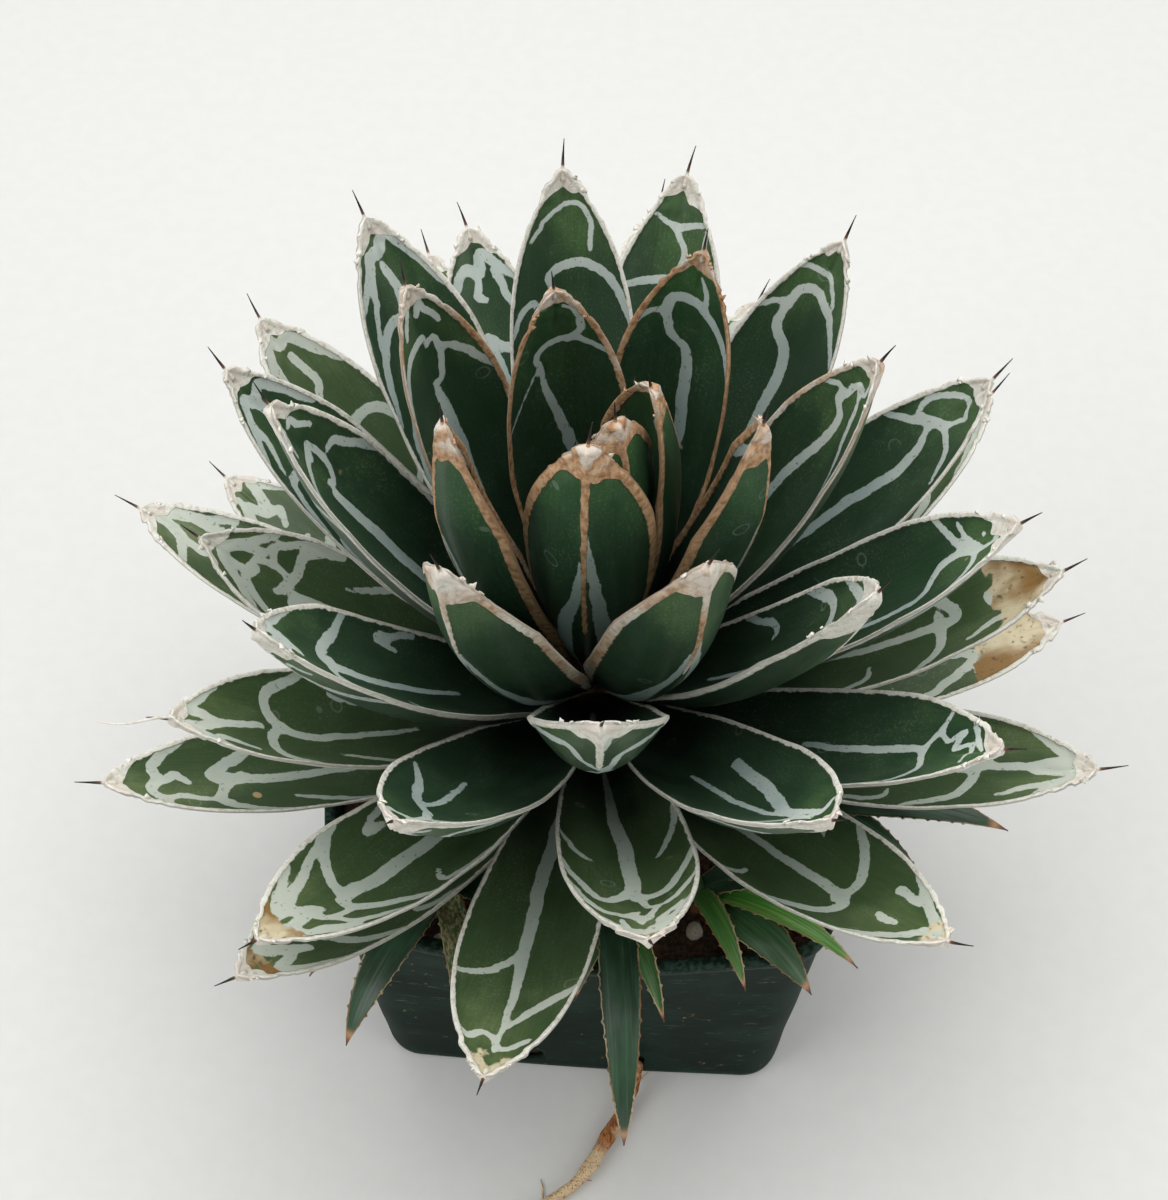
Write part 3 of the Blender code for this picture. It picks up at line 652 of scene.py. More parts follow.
CROOK = (
    Stroke(((0.98, 0.67), (0.72, 0.76), (0.34, 0.81), (-0.06, 0.795)), (0.45, 0.75, 0.6)),
    Stroke(((-0.08, 0.80), (-0.26, 0.795), (-0.30, 0.755), (-0.20, 0.725), (0.0, 0.70)), (0.45, 0.5, 0.5)),
    Stroke(((0.0, 0.70), (-0.02, 0.55), (0.03, 0.38), (0.06, 0.16)), (0.7, 1.05, 0.3)),
    Stroke(((-0.98, 0.66), (-0.74, 0.735), (-0.44, 0.755)), (0.4, 0.6, 0.45)),
    Stroke(((0.30, 0.90), (0.42, 0.87), (0.40, 0.82)), (0.4, 0.55, 0.35)),
    Stroke(((-0.62, 0.845), (-0.35, 0.88), (-0.12, 0.885)), (0.35, 0.55, 0.4)),
)
NET = (
    Stroke(((-0.98, 0.78), (-0.55, 0.865), (-0.08, 0.845), (0.34, 0.885), (0.97, 0.79)), (0.6, 0.9, 0.6)),
    Stroke(((-0.08, 0.845), (-0.18, 0.80), (-0.02, 0.755)), (0.55, 0.7, 0.5)),
    Stroke(((0.98, 0.60), (0.66, 0.68), (0.22, 0.71), (-0.16, 0.69)), (0.5, 0.85, 0.6)),
    Stroke(((-0.98, 0.58), (-0.66, 0.67), (-0.16, 0.69), (0.02, 0.58), (-0.04, 0.34)), (0.5, 0.9, 0.35)),
    Stroke(((0.55, 0.86), (0.50, 0.80), (0.66, 0.74)), (0.5, 0.6, 0.3)),
    Stroke(((-0.98, 0.42), (-0.72, 0.52), (-0.55, 0.50)), (0.3, 0.55, 0.3)),
    Stroke(((0.98, 0.38), (0.78, 0.50), (0.52, 0.55)), (0.3, 0.55, 0.3)),
)
SPREAD_LEGS = (
    Stroke(((-0.02, 0.74), (-0.13, 0.58), (-0.30, 0.40), (-0.44, 0.14)), (0.25, 0.95, 1.45)),
    Stroke(((0.02, 0.67), (0.15, 0.54), (0.36, 0.39), (0.52, 0.15)), (0.25, 0.9, 1.4)),
)
KEEL_NET = (
    Stroke(((-0.97, 0.62), (-0.62, 0.74), (-0.25, 0.76), (-0.05, 0.66)), (0.5, 0.7, 0.4)),
    Stroke(((0.97, 0.64), (0.60, 0.76), (0.22, 0.75), (0.05, 0.70)), (0.5, 0.7, 0.4)),
    Stroke(((-0.6, 0.84), (-0.32, 0.87), (-0.1, 0.85)), (0.4, 0.5, 0.4)),
)
IMPRINT_BREADTH = 1.3  # imprints spread wider than the lines that made them
IMPRINT_JOIN_MM = 1.1  # rounding where two imprints meet
FAR_MM = 9.0  # stands for well outside an outline
# fields of a body that is horn all over
BARE_HORN = {"horn": -4.0, "imprint": FAR_MM, "dry": FAR_MM}
# Places in the spiral where one kind of pattern gives way to the next.
CROOKS_ONLY_TO = 11
KEEL_NETS_FROM = 15
NETS_FROM = 20
# Leaves whose upper face shows a pattern of its own.
OWN_UPPER = {
    3: (
        Stroke(((0.97, 0.74), (0.62, 0.815), (0.24, 0.835), (-0.02, 0.80)), (0.45, 0.7, 0.45)),
        Stroke(((-0.02, 0.80), (-0.16, 0.785), (-0.12, 0.76)), (0.35, 0.4, 0.4)),
        Stroke(((-0.12, 0.76), (0.04, 0.66), (0.24, 0.50), (0.32, 0.26)), (0.5, 0.95, 0.5)),
        Stroke(((0.06, 0.90), (0.24, 0.875), (0.30, 0.83)), (0.4, 0.5, 0.35)),
    ),
    5: (
        Stroke(((0.38, 0.895), (0.64, 0.88), (0.62, 0.83), (0.32, 0.79)), (0.3, 0.5, 0.4)),
        Stroke(
            ((-0.24, 0.72), (-0.34, 0.765), (-0.06, 0.79), (0.45, 0.793), (0.93, 0.765)),
            (0.45, 0.6, 0.4),
        ),
        Stroke(((-0.28, 0.725), (-0.55, 0.68), (-0.92, 0.62)), (0.2, 0.25, 0.2)),
        Stroke(((-0.22, 0.71), (-0.1, 0.635), (0.1, 0.545), (0.27, 0.45), (0.5, 0.3)), (0.4, 0.8, 1.3)),
    ),
    8: (
        Stroke(((0.1, 0.88), (0.3, 0.85), (0.22, 0.81)), (0.25, 0.45, 0.35)),
        Stroke(
            (
                (-0.3, 0.725), (-0.54, 0.775), (-0.5, 0.815), (-0.1, 0.822), (0.5, 0.79),
                (0.86, 0.74), (0.98, 0.69),
            ),  # fmt: skip
            (0.5, 0.8, 0.4),
        ),
        Stroke(
            ((-0.3, 0.725), (-0.05, 0.70), (0.03, 0.65), (0.13, 0.54), (0.1, 0.43), (0.03, 0.25)),
            (0.45, 1.0, 0.7),
        ),
        Stroke(((-0.98, 0.735), (-0.84, 0.77), (-0.68, 0.782)), (0.3, 0.45, 0.35)),
    ),
    11: (
        Stroke(((-0.95, 0.80), (-0.62, 0.825), (-0.44, 0.80)), (0.3, 0.45, 0.3)),
        Stroke(
            ((-0.35, 0.845), (-0.1, 0.868), (0.1, 0.83), (0.3, 0.76), (0.55, 0.70), (0.9, 0.66)),
            (0.4, 0.55, 0.35),
        ),
        Stroke(((0.36, 0.90), (0.3, 0.87), (-0.05, 0.865)), (0.3, 0.4, 0.35)),
        Stroke(
            ((-0.35, 0.845), (-0.42, 0.80), (-0.15, 0.77), (-0.2, 0.70), (-0.35, 0.58), (-0.42, 0.4)),
            (0.4, 0.75, 0.5),
        ),
    ),
    13: (
        Stroke(
            ((-0.75, 0.81), (-0.5, 0.85), (0.0, 0.872), (0.5, 0.874), (0.64, 0.845), (0.5, 0.785)),
            (0.3, 0.4, 0.35),
        ),
        Stroke(
            (
                (-0.2, 0.69), (-0.3, 0.735), (-0.02, 0.755), (0.36, 0.757), (0.68, 0.735),
                (0.88, 0.69), (0.97, 0.64),
            ),  # fmt: skip
            (0.4, 0.75, 0.4),
        ),
        Stroke(((-0.24, 0.70), (-0.02, 0.685), (0.05, 0.635), (0.0, 0.5)), (0.4, 0.6, 0.3)),
        Stroke(((-0.96, 0.63), (-0.78, 0.675), (-0.58, 0.69), (-0.5, 0.65)), (0.3, 0.5, 0.25)),
    ),
    16: (
        Stroke(((-0.98, 0.84), (-0.85, 0.866), (-0.2, 0.87), (0.2, 0.862), (0.45, 0.825)), (0.3, 0.5, 0.3)),
        Stroke(
            ((-0.55, 0.78), (-0.5, 0.815), (-0.17, 0.832), (0.33, 0.81), (0.6, 0.783), (0.88, 0.735)),
            (0.5, 0.75, 0.4),
        ),
        Stroke(((-0.55, 0.785), (-0.5, 0.73), (-0.16, 0.69), (-0.08, 0.6), (-0.05, 0.4)), (0.4, 0.9, 0.6)),
        Stroke(((-0.98, 0.75), (-0.78, 0.775), (-0.58, 0.785)), (0.3, 0.45, 0.4)),
    ),
    19: (
        Stroke(
            ((-0.8, 0.90), (-0.05, 0.885), (0.0, 0.855), (-0.35, 0.82), (-0.75, 0.80)),
            (0.35, 0.45, 0.35),
        ),
        Stroke(((-0.95, 0.75), (-0.3, 0.80), (0.0, 0.835), (0.5, 0.825), (0.92, 0.785)), (0.45, 0.65, 0.4)),
        Stroke(
            ((-0.05, 0.83), (-0.15, 0.775), (0.0, 0.73), (0.3, 0.715), (0.42, 0.67), (0.36, 0.5)),
            (0.45, 0.7, 0.4),
        ),
        Stroke(((-0.42, 0.855), (-0.38, 0.858)), (0.35, 0.4, 0.35)),
    ),
    21: (
        Stroke(((-0.8, 0.865), (-0.1, 0.845), (0.5, 0.852), (0.95, 0.86)), (0.3, 0.5, 0.4)),
        Stroke(((-0.08, 0.845), (0.24, 0.80), (0.1, 0.745)), (0.35, 0.5, 0.5)),
        Stroke(
            ((-0.95, 0.715), (-0.45, 0.735), (0.1, 0.745), (0.6, 0.755), (0.97, 0.765)),
            (0.4, 0.75, 0.5),
        ),
        Stroke(((0.1, 0.745), (-0.1, 0.68), (-0.2, 0.6), (-0.22, 0.42)), (0.6, 0.8, 0.4)),
        Stroke(((0.82, 0.84), (0.66, 0.80), (0.85, 0.765)), (0.3, 0.4, 0.3)),
    ),
    22: (
        Stroke(
            ((-0.75, 0.86), (-0.3, 0.865), (0.0, 0.84), (0.3, 0.805), (0.65, 0.77), (0.95, 0.745)),
            (0.4, 0.6, 0.4),
        ),
        Stroke(((-0.3, 0.865), (-0.05, 0.75), (-0.3, 0.62), (-0.45, 0.45)), (0.4, 0.95, 0.8)),
        Stroke(((0.0, 0.84), (0.15, 0.72), (0.17, 0.58), (0.15, 0.4)), (0.3, 0.55, 0.4)),
    ),
    24: (
        Stroke(
            (
                (0.3, 0.86), (-0.1, 0.885), (-0.5, 0.87), (-0.8, 0.83), (-0.6, 0.79),
                (0.05, 0.83), (0.3, 0.86),
            ),  # fmt: skip
            (0.4, 0.45, 0.4),
        ),
        Stroke(((-0.95, 0.74), (-0.5, 0.78), (-0.05, 0.81), (0.5, 0.79), (0.74, 0.74)), (0.45, 0.6, 0.35)),
        Stroke(((-0.25, 0.79), (-0.1, 0.74), (-0.05, 0.67), (-0.2, 0.57), (-0.3, 0.4)), (0.4, 0.85, 0.55)),
    ),
    25: (
        Stroke(((0.85, 0.60), (0.62, 0.64), (0.4, 0.71), (0.02, 0.76), (-0.12, 0.82)), (0.5, 0.8, 0.45)),
        Stroke(
            ((0.85, 0.89), (0.5, 0.87), (0.0, 0.845), (-0.12, 0.815), (-0.4, 0.77), (-0.88, 0.72)),
            (0.35, 0.55, 0.35),
        ),
        Stroke(((0.25, 0.72), (0.2, 0.62), (0.3, 0.5)), (0.35, 0.5, 0.35)),
    ),
    27: (
        Stroke(((-0.1, 0.45), (-0.1, 0.6), (-0.15, 0.70), (-0.08, 0.745)), (0.45, 0.7, 0.45)),
        Stroke(
            ((-0.92, 0.79), (-0.45, 0.765), (-0.08, 0.745), (0.4, 0.765), (0.8, 0.73), (0.97, 0.67)),
            (0.35, 0.55, 0.3),
        ),
        Stroke(
            ((-0.5, 0.77), (-0.35, 0.80), (-0.6, 0.835), (-0.1, 0.82), (-0.2, 0.865), (0.4, 0.86)),
            (0.35, 0.45, 0.35),
        ),
        Stroke(((-0.9, 0.85), (-0.55, 0.87), (-0.1, 0.89)), (0.3, 0.45, 0.35)),
    ),
    38: (
        Stroke(((0.1, 0.08), (0.13, 0.35), (0.05, 0.55), (-0.02, 0.70), (0.0, 0.86)), (1.0, 0.9, 0.2)),
        Stroke(((0.06, 0.58), (0.45, 0.65), (0.97, 0.70)), (0.4, 0.6, 0.35)),
        Stroke(((-0.95, 0.69), (-0.55, 0.72), (-0.12, 0.79)), (0.8, 0.9, 0.25)),
        Stroke(((0.0, 0.85), (0.3, 0.82), (0.7, 0.845), (0.96, 0.83)), (0.3, 0.6, 0.4)),
        Stroke(((-0.7, 0.83), (-0.38, 0.855), (0.0, 0.86)), (0.5, 0.6, 0.3)),
    ),
}


def marks_on(index: int, face: Face, rng: np.random.Generator) -> list[Stroke]:
    """The pale lines on one face of one leaf.

    Args:
        index: The leaf's place in the spiral.
        face: Which face.
        rng: The leaf's own random numbers.

    Returns:
        Its strokes.
    """
    flip = 1 if rng.random() < 0.5 else -1
    if face is Face.UPPER and index in OWN_UPPER:
        return list(OWN_UPPER[index])
    chosen: list[Stroke] = []
    if face is Face.UPPER:
        ripening = CROOKS_ONLY_TO <= index < NETS_FROM
        crooked = index % 2 == 1 if ripening else index % 3 == 0
        if index < CROOKS_ONLY_TO or crooked:
            chosen += [stroke.moved(flip, rng, 0.06) for stroke in CROOK]
        if index >= NETS_FROM or (ripening and not chosen):
            chosen += [stroke.moved(-flip, rng, 0.09) for stroke in NET]
    else:
        chosen += [stroke.moved(flip, rng, 0.03) for stroke in SPREAD_LEGS]
        if index >= KEEL_NETS_FROM:
            chosen += [stroke.moved(flip, rng, 0.08) for stroke in KEEL_NET]
    return chosen


def imprint_field(strokes: list[Stroke], face: Face, x: Array, y: Array, blade: "LeafShape") -> Array:
    """Distance from every point of a face to the pale lines on it.

    Args:
        strokes: The lines.
        face: The face that they are on.
        x: Place across the leaf, in millimetres.
        y: Place along it, in millimetres.
        blade: The leaf's sizes.

    Returns:
        Millimetres outside the nearest line, negative inside it.
    """
    nearest = np.full(x.size, FAR_MM)
    for stroke in strokes:
        line = smooth_line(stroke.points)
        across = line[:, 0] * blade.half_width_at(line[:, 1]) / MM * face.value
        along = line[:, 1] * blade.length / MM
        share = np.linspace(0, 1, len(line))
        start, middle, end = np.asarray(stroke.widths) * IMPRINT_BREADTH
        swell = 2 * middle - (start + end) / 2
        widths = start * (1 - share) ** 2 + 2 * share * (1 - share) * swell + end * share**2
        wander = value_noise(along / 3.5, across, len(strokes)) * 0.35
        line = np.stack((across + wander, along), -1)
        distance = distance_to_line(x.ravel(), y.ravel(), line, widths)
        nearest = smooth_min(nearest, distance, IMPRINT_JOIN_MM)
    return nearest.reshape(x.shape)


# ---- leaves -----------------------------------------------------------------
def stem_radius(height: float) -> float:
    """The stem's radius at a height above the floor, in metres."""
    share = min(1.0, max(0.0, (ROSETTE_CENTRE[2] - height) / STEM_LEAFY_HEIGHT))
    return STEM_TOP_RADIUS + (STEM_BASE_RADIUS - STEM_TOP_RADIUS) * share


def midrib(rise: float, curl: float, length: float, shares: Array) -> tuple[Array, Array, Array]:
    """A leaf's line, whose slope grows by curl and whose chord rises by rise.

    Args:
        rise: Angle of the chord.
        curl: Change of slope from base to tip.
        length: Length of the chord.
        shares: Places along it.

    Returns:
        Distance out, height and slope at each place.
    """
    steps = 200
    slopes = rise + curl * (np.arange(steps + 1) / steps - 0.5)
    middle = (slopes[1:] + slopes[:-1]) / 2
    out = np.concatenate(([0], np.cumsum(np.cos(middle)) / steps))
    up = np.concatenate(([0], np.cumsum(np.sin(middle)) / steps))
    size = length / math.hypot(out[-1], up[-1])
    swing = rise - math.atan2(up[-1], out[-1])
    turned_out = (math.cos(swing) * out - math.sin(swing) * up) * size
    turned_up = (math.sin(swing) * out + math.cos(swing) * up) * size
    at = np.arange(steps + 1) / steps
    return (
        np.interp(shares, at, turned_out),
        np.interp(shares, at, turned_up),
        np.interp(shares, at, slopes + swing),
    )


@dataclass(frozen=True)
class LeafShape:
    """Sizes of one rosette leaf, in metres and radians."""

    azimuth: float
    rise: float
    length: float
    height: float
    half_width: float
    base_half_width: float
    thickness: float
    base_thickness: float
    channel: float
    curl: float

    @classmethod
    def grown(cls, index: int) -> "LeafShape":
        """The leaf at this place in the spiral.

        Args:
            index: 0 for the youngest.

        Returns:
            Its sizes, from the spiral's rules and its own departures.
        """
        age = index / (SPIRAL_LEAVES - 1)
        ripe = min(1.0, index / MATURE_AFTER)
        turn, rise, longer, lift = DEPARTURES.get(index, (0, 0, 0, 0))
        wider, channel, thicker, curl = BUILDS.get(index, (0, 0, 0, 0))
        growth = 1 - (1 - min(age, 1)) ** 4
        length = YOUNGEST_LENGTH + LENGTH_GAIN * growth - ATTACH_LENGTH_LOSS * age
        return cls(
            azimuth=math.radians(FIRST_LEAF_TURN - GOLDEN_ANGLE * index + turn),
            rise=math.radians(YOUNGEST_RISE - RISE_RANGE * age**RISE_POWER + rise),
            length=length + longer * MM,
            height=ROSETTE_CENTRE[2] - STEM_LEAFY_HEIGHT * min(age, LOWEST_ATTACH) + lift * MM,
            half_width=LEAF_HALF_WIDTH + MATURE_WIDTH_GAIN * ripe + wider * MM,
            base_half_width=LEAF_BASE_HALF_WIDTH + BASE_WIDTH_GAIN * age,
            thickness=YOUNG_THICKNESS + MATURE_THICKNESS_GAIN * ripe + thicker * MM,
            base_thickness=LEAF_BASE_THICKNESS + BASE_THICKNESS_GAIN * age,
            channel=YOUNG_CHANNEL - MATURE_CHANNEL_LOSS * ripe - OLD_CHANNEL_LOSS * age + channel * MM,
            curl=math.radians(YOUNG_CURL - OLD_CURL_LOSS * age + curl),
        )

    def half_width_at(self, share: Array) -> Array:
        """Half the blade's width at shares of its length."""
        below = np.sin(np.pi / 2 * np.minimum(share, WIDEST_AT) / WIDEST_AT)
        beyond = np.clip((share - WIDEST_AT) / (BLADE_END - WIDEST_AT), 0, 1)
        widening = self.base_half_width + (self.half_width - self.base_half_width) * below
        narrowing = BLADE_TIP_HALF_WIDTH + (self.half_width - BLADE_TIP_HALF_WIDTH) * (1 - beyond**2.7)
        return np.where(share < WIDEST_AT, widening, narrowing)

    def thickness_at(self, share: Array) -> Array:
        """The blade's thickness at shares of its length."""
        below = np.sin(np.pi / 2 * np.minimum(share, THICKEST_AT) / THICKEST_AT)
        beyond = np.clip((share - THICKEST_AT) / (BLADE_END - THICKEST_AT), 0, 1)
        growing = self.base_thickness + (self.thickness - self.base_thickness) * below
        thinning = BLADE_TIP_THICKNESS + (self.thickness - BLADE_TIP_THICKNESS) * (1 - beyond**1.8)
        return np.where(share < THICKEST_AT, growing, thinning)

    def frame_at(self, share: Array) -> tuple[Array, Array, Array, Array]:
        """Where the leaf is and how it is turned.

        Args:
            share: Places along the leaf.

        Returns:
            Origins, normals and tangents, one row each, and the direction across.
        """
        away, across = headings(self.azimuth)
        foot = np.array((*ROSETTE_CENTRE[:2], self.height))
        foot = foot + away * (stem_radius(self.height) + ATTACH_CLEARANCE)
        out, rise, slope = midrib(self.rise, self.curl, self.length, share)
        origin = foot + out[:, None] * away + rise[:, None] * UP
        normal = np.cos(slope)[:, None] * UP - np.sin(slope)[:, None] * away
        tangent = np.sin(slope)[:, None] * UP + np.cos(slope)[:, None] * away
        return origin, normal, tangent, across


SQUARE = ((-1, -1), (1, -1), (1, 1), (-1, 1))  # corners of a flake's section


@dataclass
class RosetteLeaf:
    """One thick keeled leaf: blade, horny rim and keel, flaky cap and spine."""

    number: int
    index: int
    tan: float  # how brown its horn is
    dry_from: float  # share of the length where the blade has dried, past 1 if it hasn't
    cap_from: float  # share of the length where the cap starts
    trailing: bool  # whether a strand of dried rim trails from its tip
    rows: int = 118
    rim_columns: int = 6
    middle_columns: int = 25
    rim_mm: float = 1.7  # width of the raised horny rim
    rim_height: float = 0.30 * MM
    thread_mm: float = 19.0
    # a flake's half width as a share of its size, and half depth in mm, from foot to tip
    flake: tuple[tuple[float, float], ...] = ((0.55, 0.16), (0.5, 0.13), (0.3, 0.08), (0.06, 0.03))
    patches: Patchwork = field(default_factory=Patchwork, init=False)

    def __post_init__(self) -> None:
        """Takes the leaf's sizes and its own random numbers."""
        self.shape = LeafShape.grown(self.index)
        self.rng = np.random.default_rng(4100 + self.index)
        self.seed = float(self.index) * 7.31

    def columns(self, half: Array) -> Array:
        """Places across the blade, closer together at its rims.

        Args:
            half: Half widths of the rows, in millimetres.

        Returns:
            Shares from -1 to 1 as rows x columns.
        """
        zone = np.minimum(self.rim_mm / half, 0.42)[:, None]
        rim = np.linspace(0, 1, self.rim_columns)[None, :-1] * zone
        middle = np.linspace(-1, 1, self.middle_columns)[None, :] * (1 - zone)
        return np.hstack((-1 + rim, middle, (1 - rim)[:, ::-1]))

    def horn_field(self, face: Face, x: Array, half: Array, share: Array) -> Array:
        """Distance to the horny rim, cap and keel.

        Args:
            face: Upper or lower.
            x: Shares across.
            half: Half widths, in millimetres.
            share: Shares along.

        Returns:
            Millimetres outside the horn, negative inside it.
        """
        young = 1 - smoothstep(6, 14, self.index)
        width = (0.72 + 0.30 * young) * (0.5 + 0.5 * smoothstep(0.02, 0.35, share))
        width = width + 0.30 * smoothstep(0.62, 0.85, share)
        start = self.cap_from + (0.015 if face is Face.UPPER else -0.01)
        start = start + 0.014 * value_noise(x * half / 1.6, share * 0, self.seed)
        width = width + 9 * smoothstep(start, start + 0.052, share) ** 1.2
        rim = (1 - np.abs(x)) * half - width
        if face is Face.UPPER:
            return rim
        low = 0.70 - 0.34 * young + 0.05 * self.rng.uniform(-1, 1)
        keel_width = -2.0 + 2.45 * smoothstep(low - 0.03, low + 0.06, share)
        keel_width = keel_width + 0.3 * smoothstep(0.6, 0.9, share)
        return smooth_min(rim, np.abs(x) * half - keel_width, 3.4)

    def blade(self) -> None:
        """Adds the blade."""
        end = BLADE_END + 0.004
        share = end * (1 - (1 - np.linspace(0, 1, self.rows)) ** 1.12)
        shape = self.shape
        origin, normal, _, across = shape.frame_at(share)
        length = shape.length / MM
        half = shape.half_width_at(share) / MM
        cap = smoothstep(0.80, 0.90, share)
        jag = value_noise(share * length / 1.3, share * 0, self.seed + 1)
        jag = jag + 0.6 * value_noise(share * length / 0.5, share * 0, self.seed + 2)
        sway = 0.22 * value_noise(share * length / 9, share * 0, self.seed + 3)
        thick = shape.thickness_at(share) / MM
        fade = np.clip(share / CHANNEL_STARTS, 0, 1)
        fade = fade * np.clip((BLADE_END + 0.01 - share) / CHANNEL_FADES, 0, 1)
        channel = shape.channel / MM * fade
        closing = smoothstep(end, end - 0.006, share) * 0.92 + 0.08
        x = self.columns(half)
        along = np.broadcast_to((share * length)[:, None], x.shape)
        shares = np.broadcast_to(share[:, None], x.shape)
        from_rim = (1 - np.abs(x)) * half[:, None]
        bead = np.sqrt(np.clip(1 - ((from_rim - 0.55) / 0.78) ** 2, 0, 1)) * self.rim_height / MM
        bead = bead * smoothstep(0.0, 0.12, shares)
        keel_power = (2.66 - 1.35 * smoothstep(0.35, 0.9, share))[:, None]
        loops, sides = [], []
        for face in Face:
            sideways = x * half[:, None]
            side = np.sign(x) * smoothstep(2.0, 0.0, from_rim)
            ragged = (jag * cap * 0.45)[:, None] * side + sway[:, None] * side
            edge = 0.25 * np.minimum(thick, 1)[:, None] * np.abs(x) ** 8
            lift = channel[:, None] * (x * x - CHANNEL_BALANCE) - edge
            bumps = value_noise(sideways / 1.4, along / 1.4, self.seed + 4 + face.value)
            lumps = cap[:, None] * 0.30 * bumps
            if face is Face.UPPER:
                slit = np.exp(-((sideways / 0.55) ** 2)) * smoothstep(0.80, 0.86, shares) * 0.45
                lift = lift + bead + lumps * 0.6 - slit * (1 - smoothstep(0.92, 0.94, shares))
            else:
                body = thick[:, None] * (1 - np.abs(x) ** keel_power)
                ridge = np.exp(-((sideways / 0.6) ** 2)) * 0.28 * smoothstep(0.34, 0.6, shares)
                lift = lift - body - bead - ridge - lumps * 0.6
                lift = lift - 0.10 * smoothstep(1.0, 0.0, from_rim)
            skin = 0.05 * value_noise(sideways / 2.2, along / 6, self.seed + 5)
            reach = closing[:, None]
            points = (
                origin[:, None]
                + (sideways + ragged)[..., None] * reach[..., None] * MM * across
                + ((lift + skin) * reach)[..., None] * MM * normal[:, None]
            )
            strokes = marks_on(self.index, face, self.rng)
            imprint = imprint_field(strokes, face, sideways, along, shape)
            horn = self.horn_field(face, x, half[:, None], shares)
            dry = (self.dry_from - shares) * length
            dry = dry + 1.5 * value_noise(sideways / 5, along / 5, self.seed + 6)
            loops.append(points)
            sides.append(
                {
                    "imprint": imprint,
                    "horn": horn,
                    "dry": np.clip(dry, -FAR_MM, FAR_MM),
                    "share": shares,
                    "across": sideways + 20 * face.value,
                    "along": along,
                }
            )
        # one loop: across the lower face, then back across the upper one
        rings = np.concatenate((loops[1], loops[0][:, ::-1]), axis=1)
        fields = {k: np.concatenate((sides[1][k], sides[0][k][:, ::-1]), axis=1) for k in sides[0]}
        self.patches.add_tube(rings, fields | self.constants())

    def constants(self) -> Fields:
        """Values that are the same all over the leaf."""
        return {"tan": np.array(self.tan), "seed": np.array(self.seed), "spine": np.array(0.0)}

    def spine(self) -> None:
        """Adds the terminal spine, a slender thorn bent a little to one side."""
        share = np.linspace(0.918, 1.0, 14)
        origin, normal, _, across = self.shape.frame_at(share)
        taper = np.clip((1 - share) / 0.085, 0, 1)
        radius = (0.08 + 0.46 * taper**1.2) * MM
        bend = self.rng.uniform(-1.3, 1.3) * MM * (1 - taper) ** 1.6
        lift = self.rng.uniform(-0.8, 0.5) * MM * (1 - taper) ** 1.6
        centre = origin + bend[:, None] * across + (lift - 0.0006 * taper)[:, None] * normal
        rings = hoops(centre, radius[:, None], across, normal[:, None], 8)
        dark = np.broadcast_to(smoothstep(0.940, 0.972, share)[:, None], rings.shape[:2])
        fields = BARE_HORN | {"spine": dark, "share": share[:, None], "across": 0.0}
        fields |= {"along": (share * self.shape.length / MM)[:, None]}
        self.patches.add_tube(rings, self.constants() | fields)

    def flakes(self) -> None:
        """Adds curled shards of dry horn round the cap."""
        count = int(self.rng.integers(3, 7))
        for _ in range(count):
            share = self.rng.uniform(self.cap_from - 0.01, BLADE_END - 0.005)
            side = self.rng.choice((-1.0, 1.0))
            origin, normal, tangent, across = self.shape.frame_at(np.array([share]))
            half = self.shape.half_width_at(np.array([share]))[0]
            fade = min(1, (BLADE_END + 0.01 - share) / CHANNEL_FADES)
            lift = self.shape.channel * fade * 0.65
            outward = across * side
            foot = origin[0] + outward * half * self.rng.uniform(0.8, 0.98) + normal[0] * lift
            heading = outward * self.rng.uniform(0.2, 1.0) + tangent[0] * self.rng.uniform(0.3, 1.0)
            heading = heading + normal[0] * self.rng.uniform(-0.4, 0.5)
            heading /= np.linalg.norm(heading)
            flat = np.cross(heading, normal[0])
            flat /= np.linalg.norm(flat)
            thin = np.cross(heading, flat)
            size = self.rng.uniform(0.5, 1.2) * MM
            rings = []
            for k, (width, depth) in enumerate(self.flake):
                curled = thin * size * 0.12 * k * k * self.rng.uniform(-0.5, 0.5)
                middle = foot + heading * size * k / 3 + curled
                wide, deep = flat * size * width, thin * MM * depth
                rings.append([middle + wide * a + deep * b for a, b in SQUARE])
            fields = BARE_HORN | {"share": share, "across": size / MM}
            self.patches.add_tube(np.array(rings), self.constants() | fields | {"along": share * 90})

    def loose_thread(self) -> None:
        """Adds a strand of dried rim that has come away and trails from the tip."""
        origin, normal, tangent, across = self.shape.frame_at(np.array([0.93]))
        way = np.linspace(0, 1, 16)[:, None]
        curve = origin[0] + tangent[0] * way * self.thread_mm * MM
        curve = curve + across * 3 * MM * np.sin(3.0 * way) * way - UP * 4 * MM * way**2
        rings = hoops(curve, (0.42 - 0.25 * way) * MM, across, normal[0] * 0.5, 6)
        fields = BARE_HORN | {"share": 0.9, "across": 1.0}
        self.patches.add_tube(rings, self.constants() | fields | {"along": way * self.thread_mm})

    def build(self, material: bpy.types.Material, slot: str) -> bpy.types.Object:
        """Builds the leaf.

        Args:
            material: Its finish.
            slot: The record's slot.

        Returns:
            The piece.
        """
        self.blade()
        self.spine()
        self.flakes()
        if self.trailing:
            self.loose_thread()
        piece = self.patches.finish(f"agave_leaf_{self.number:02d}", material)
        return hand_over(piece, slot, f"leaf_{self.number:02d}")


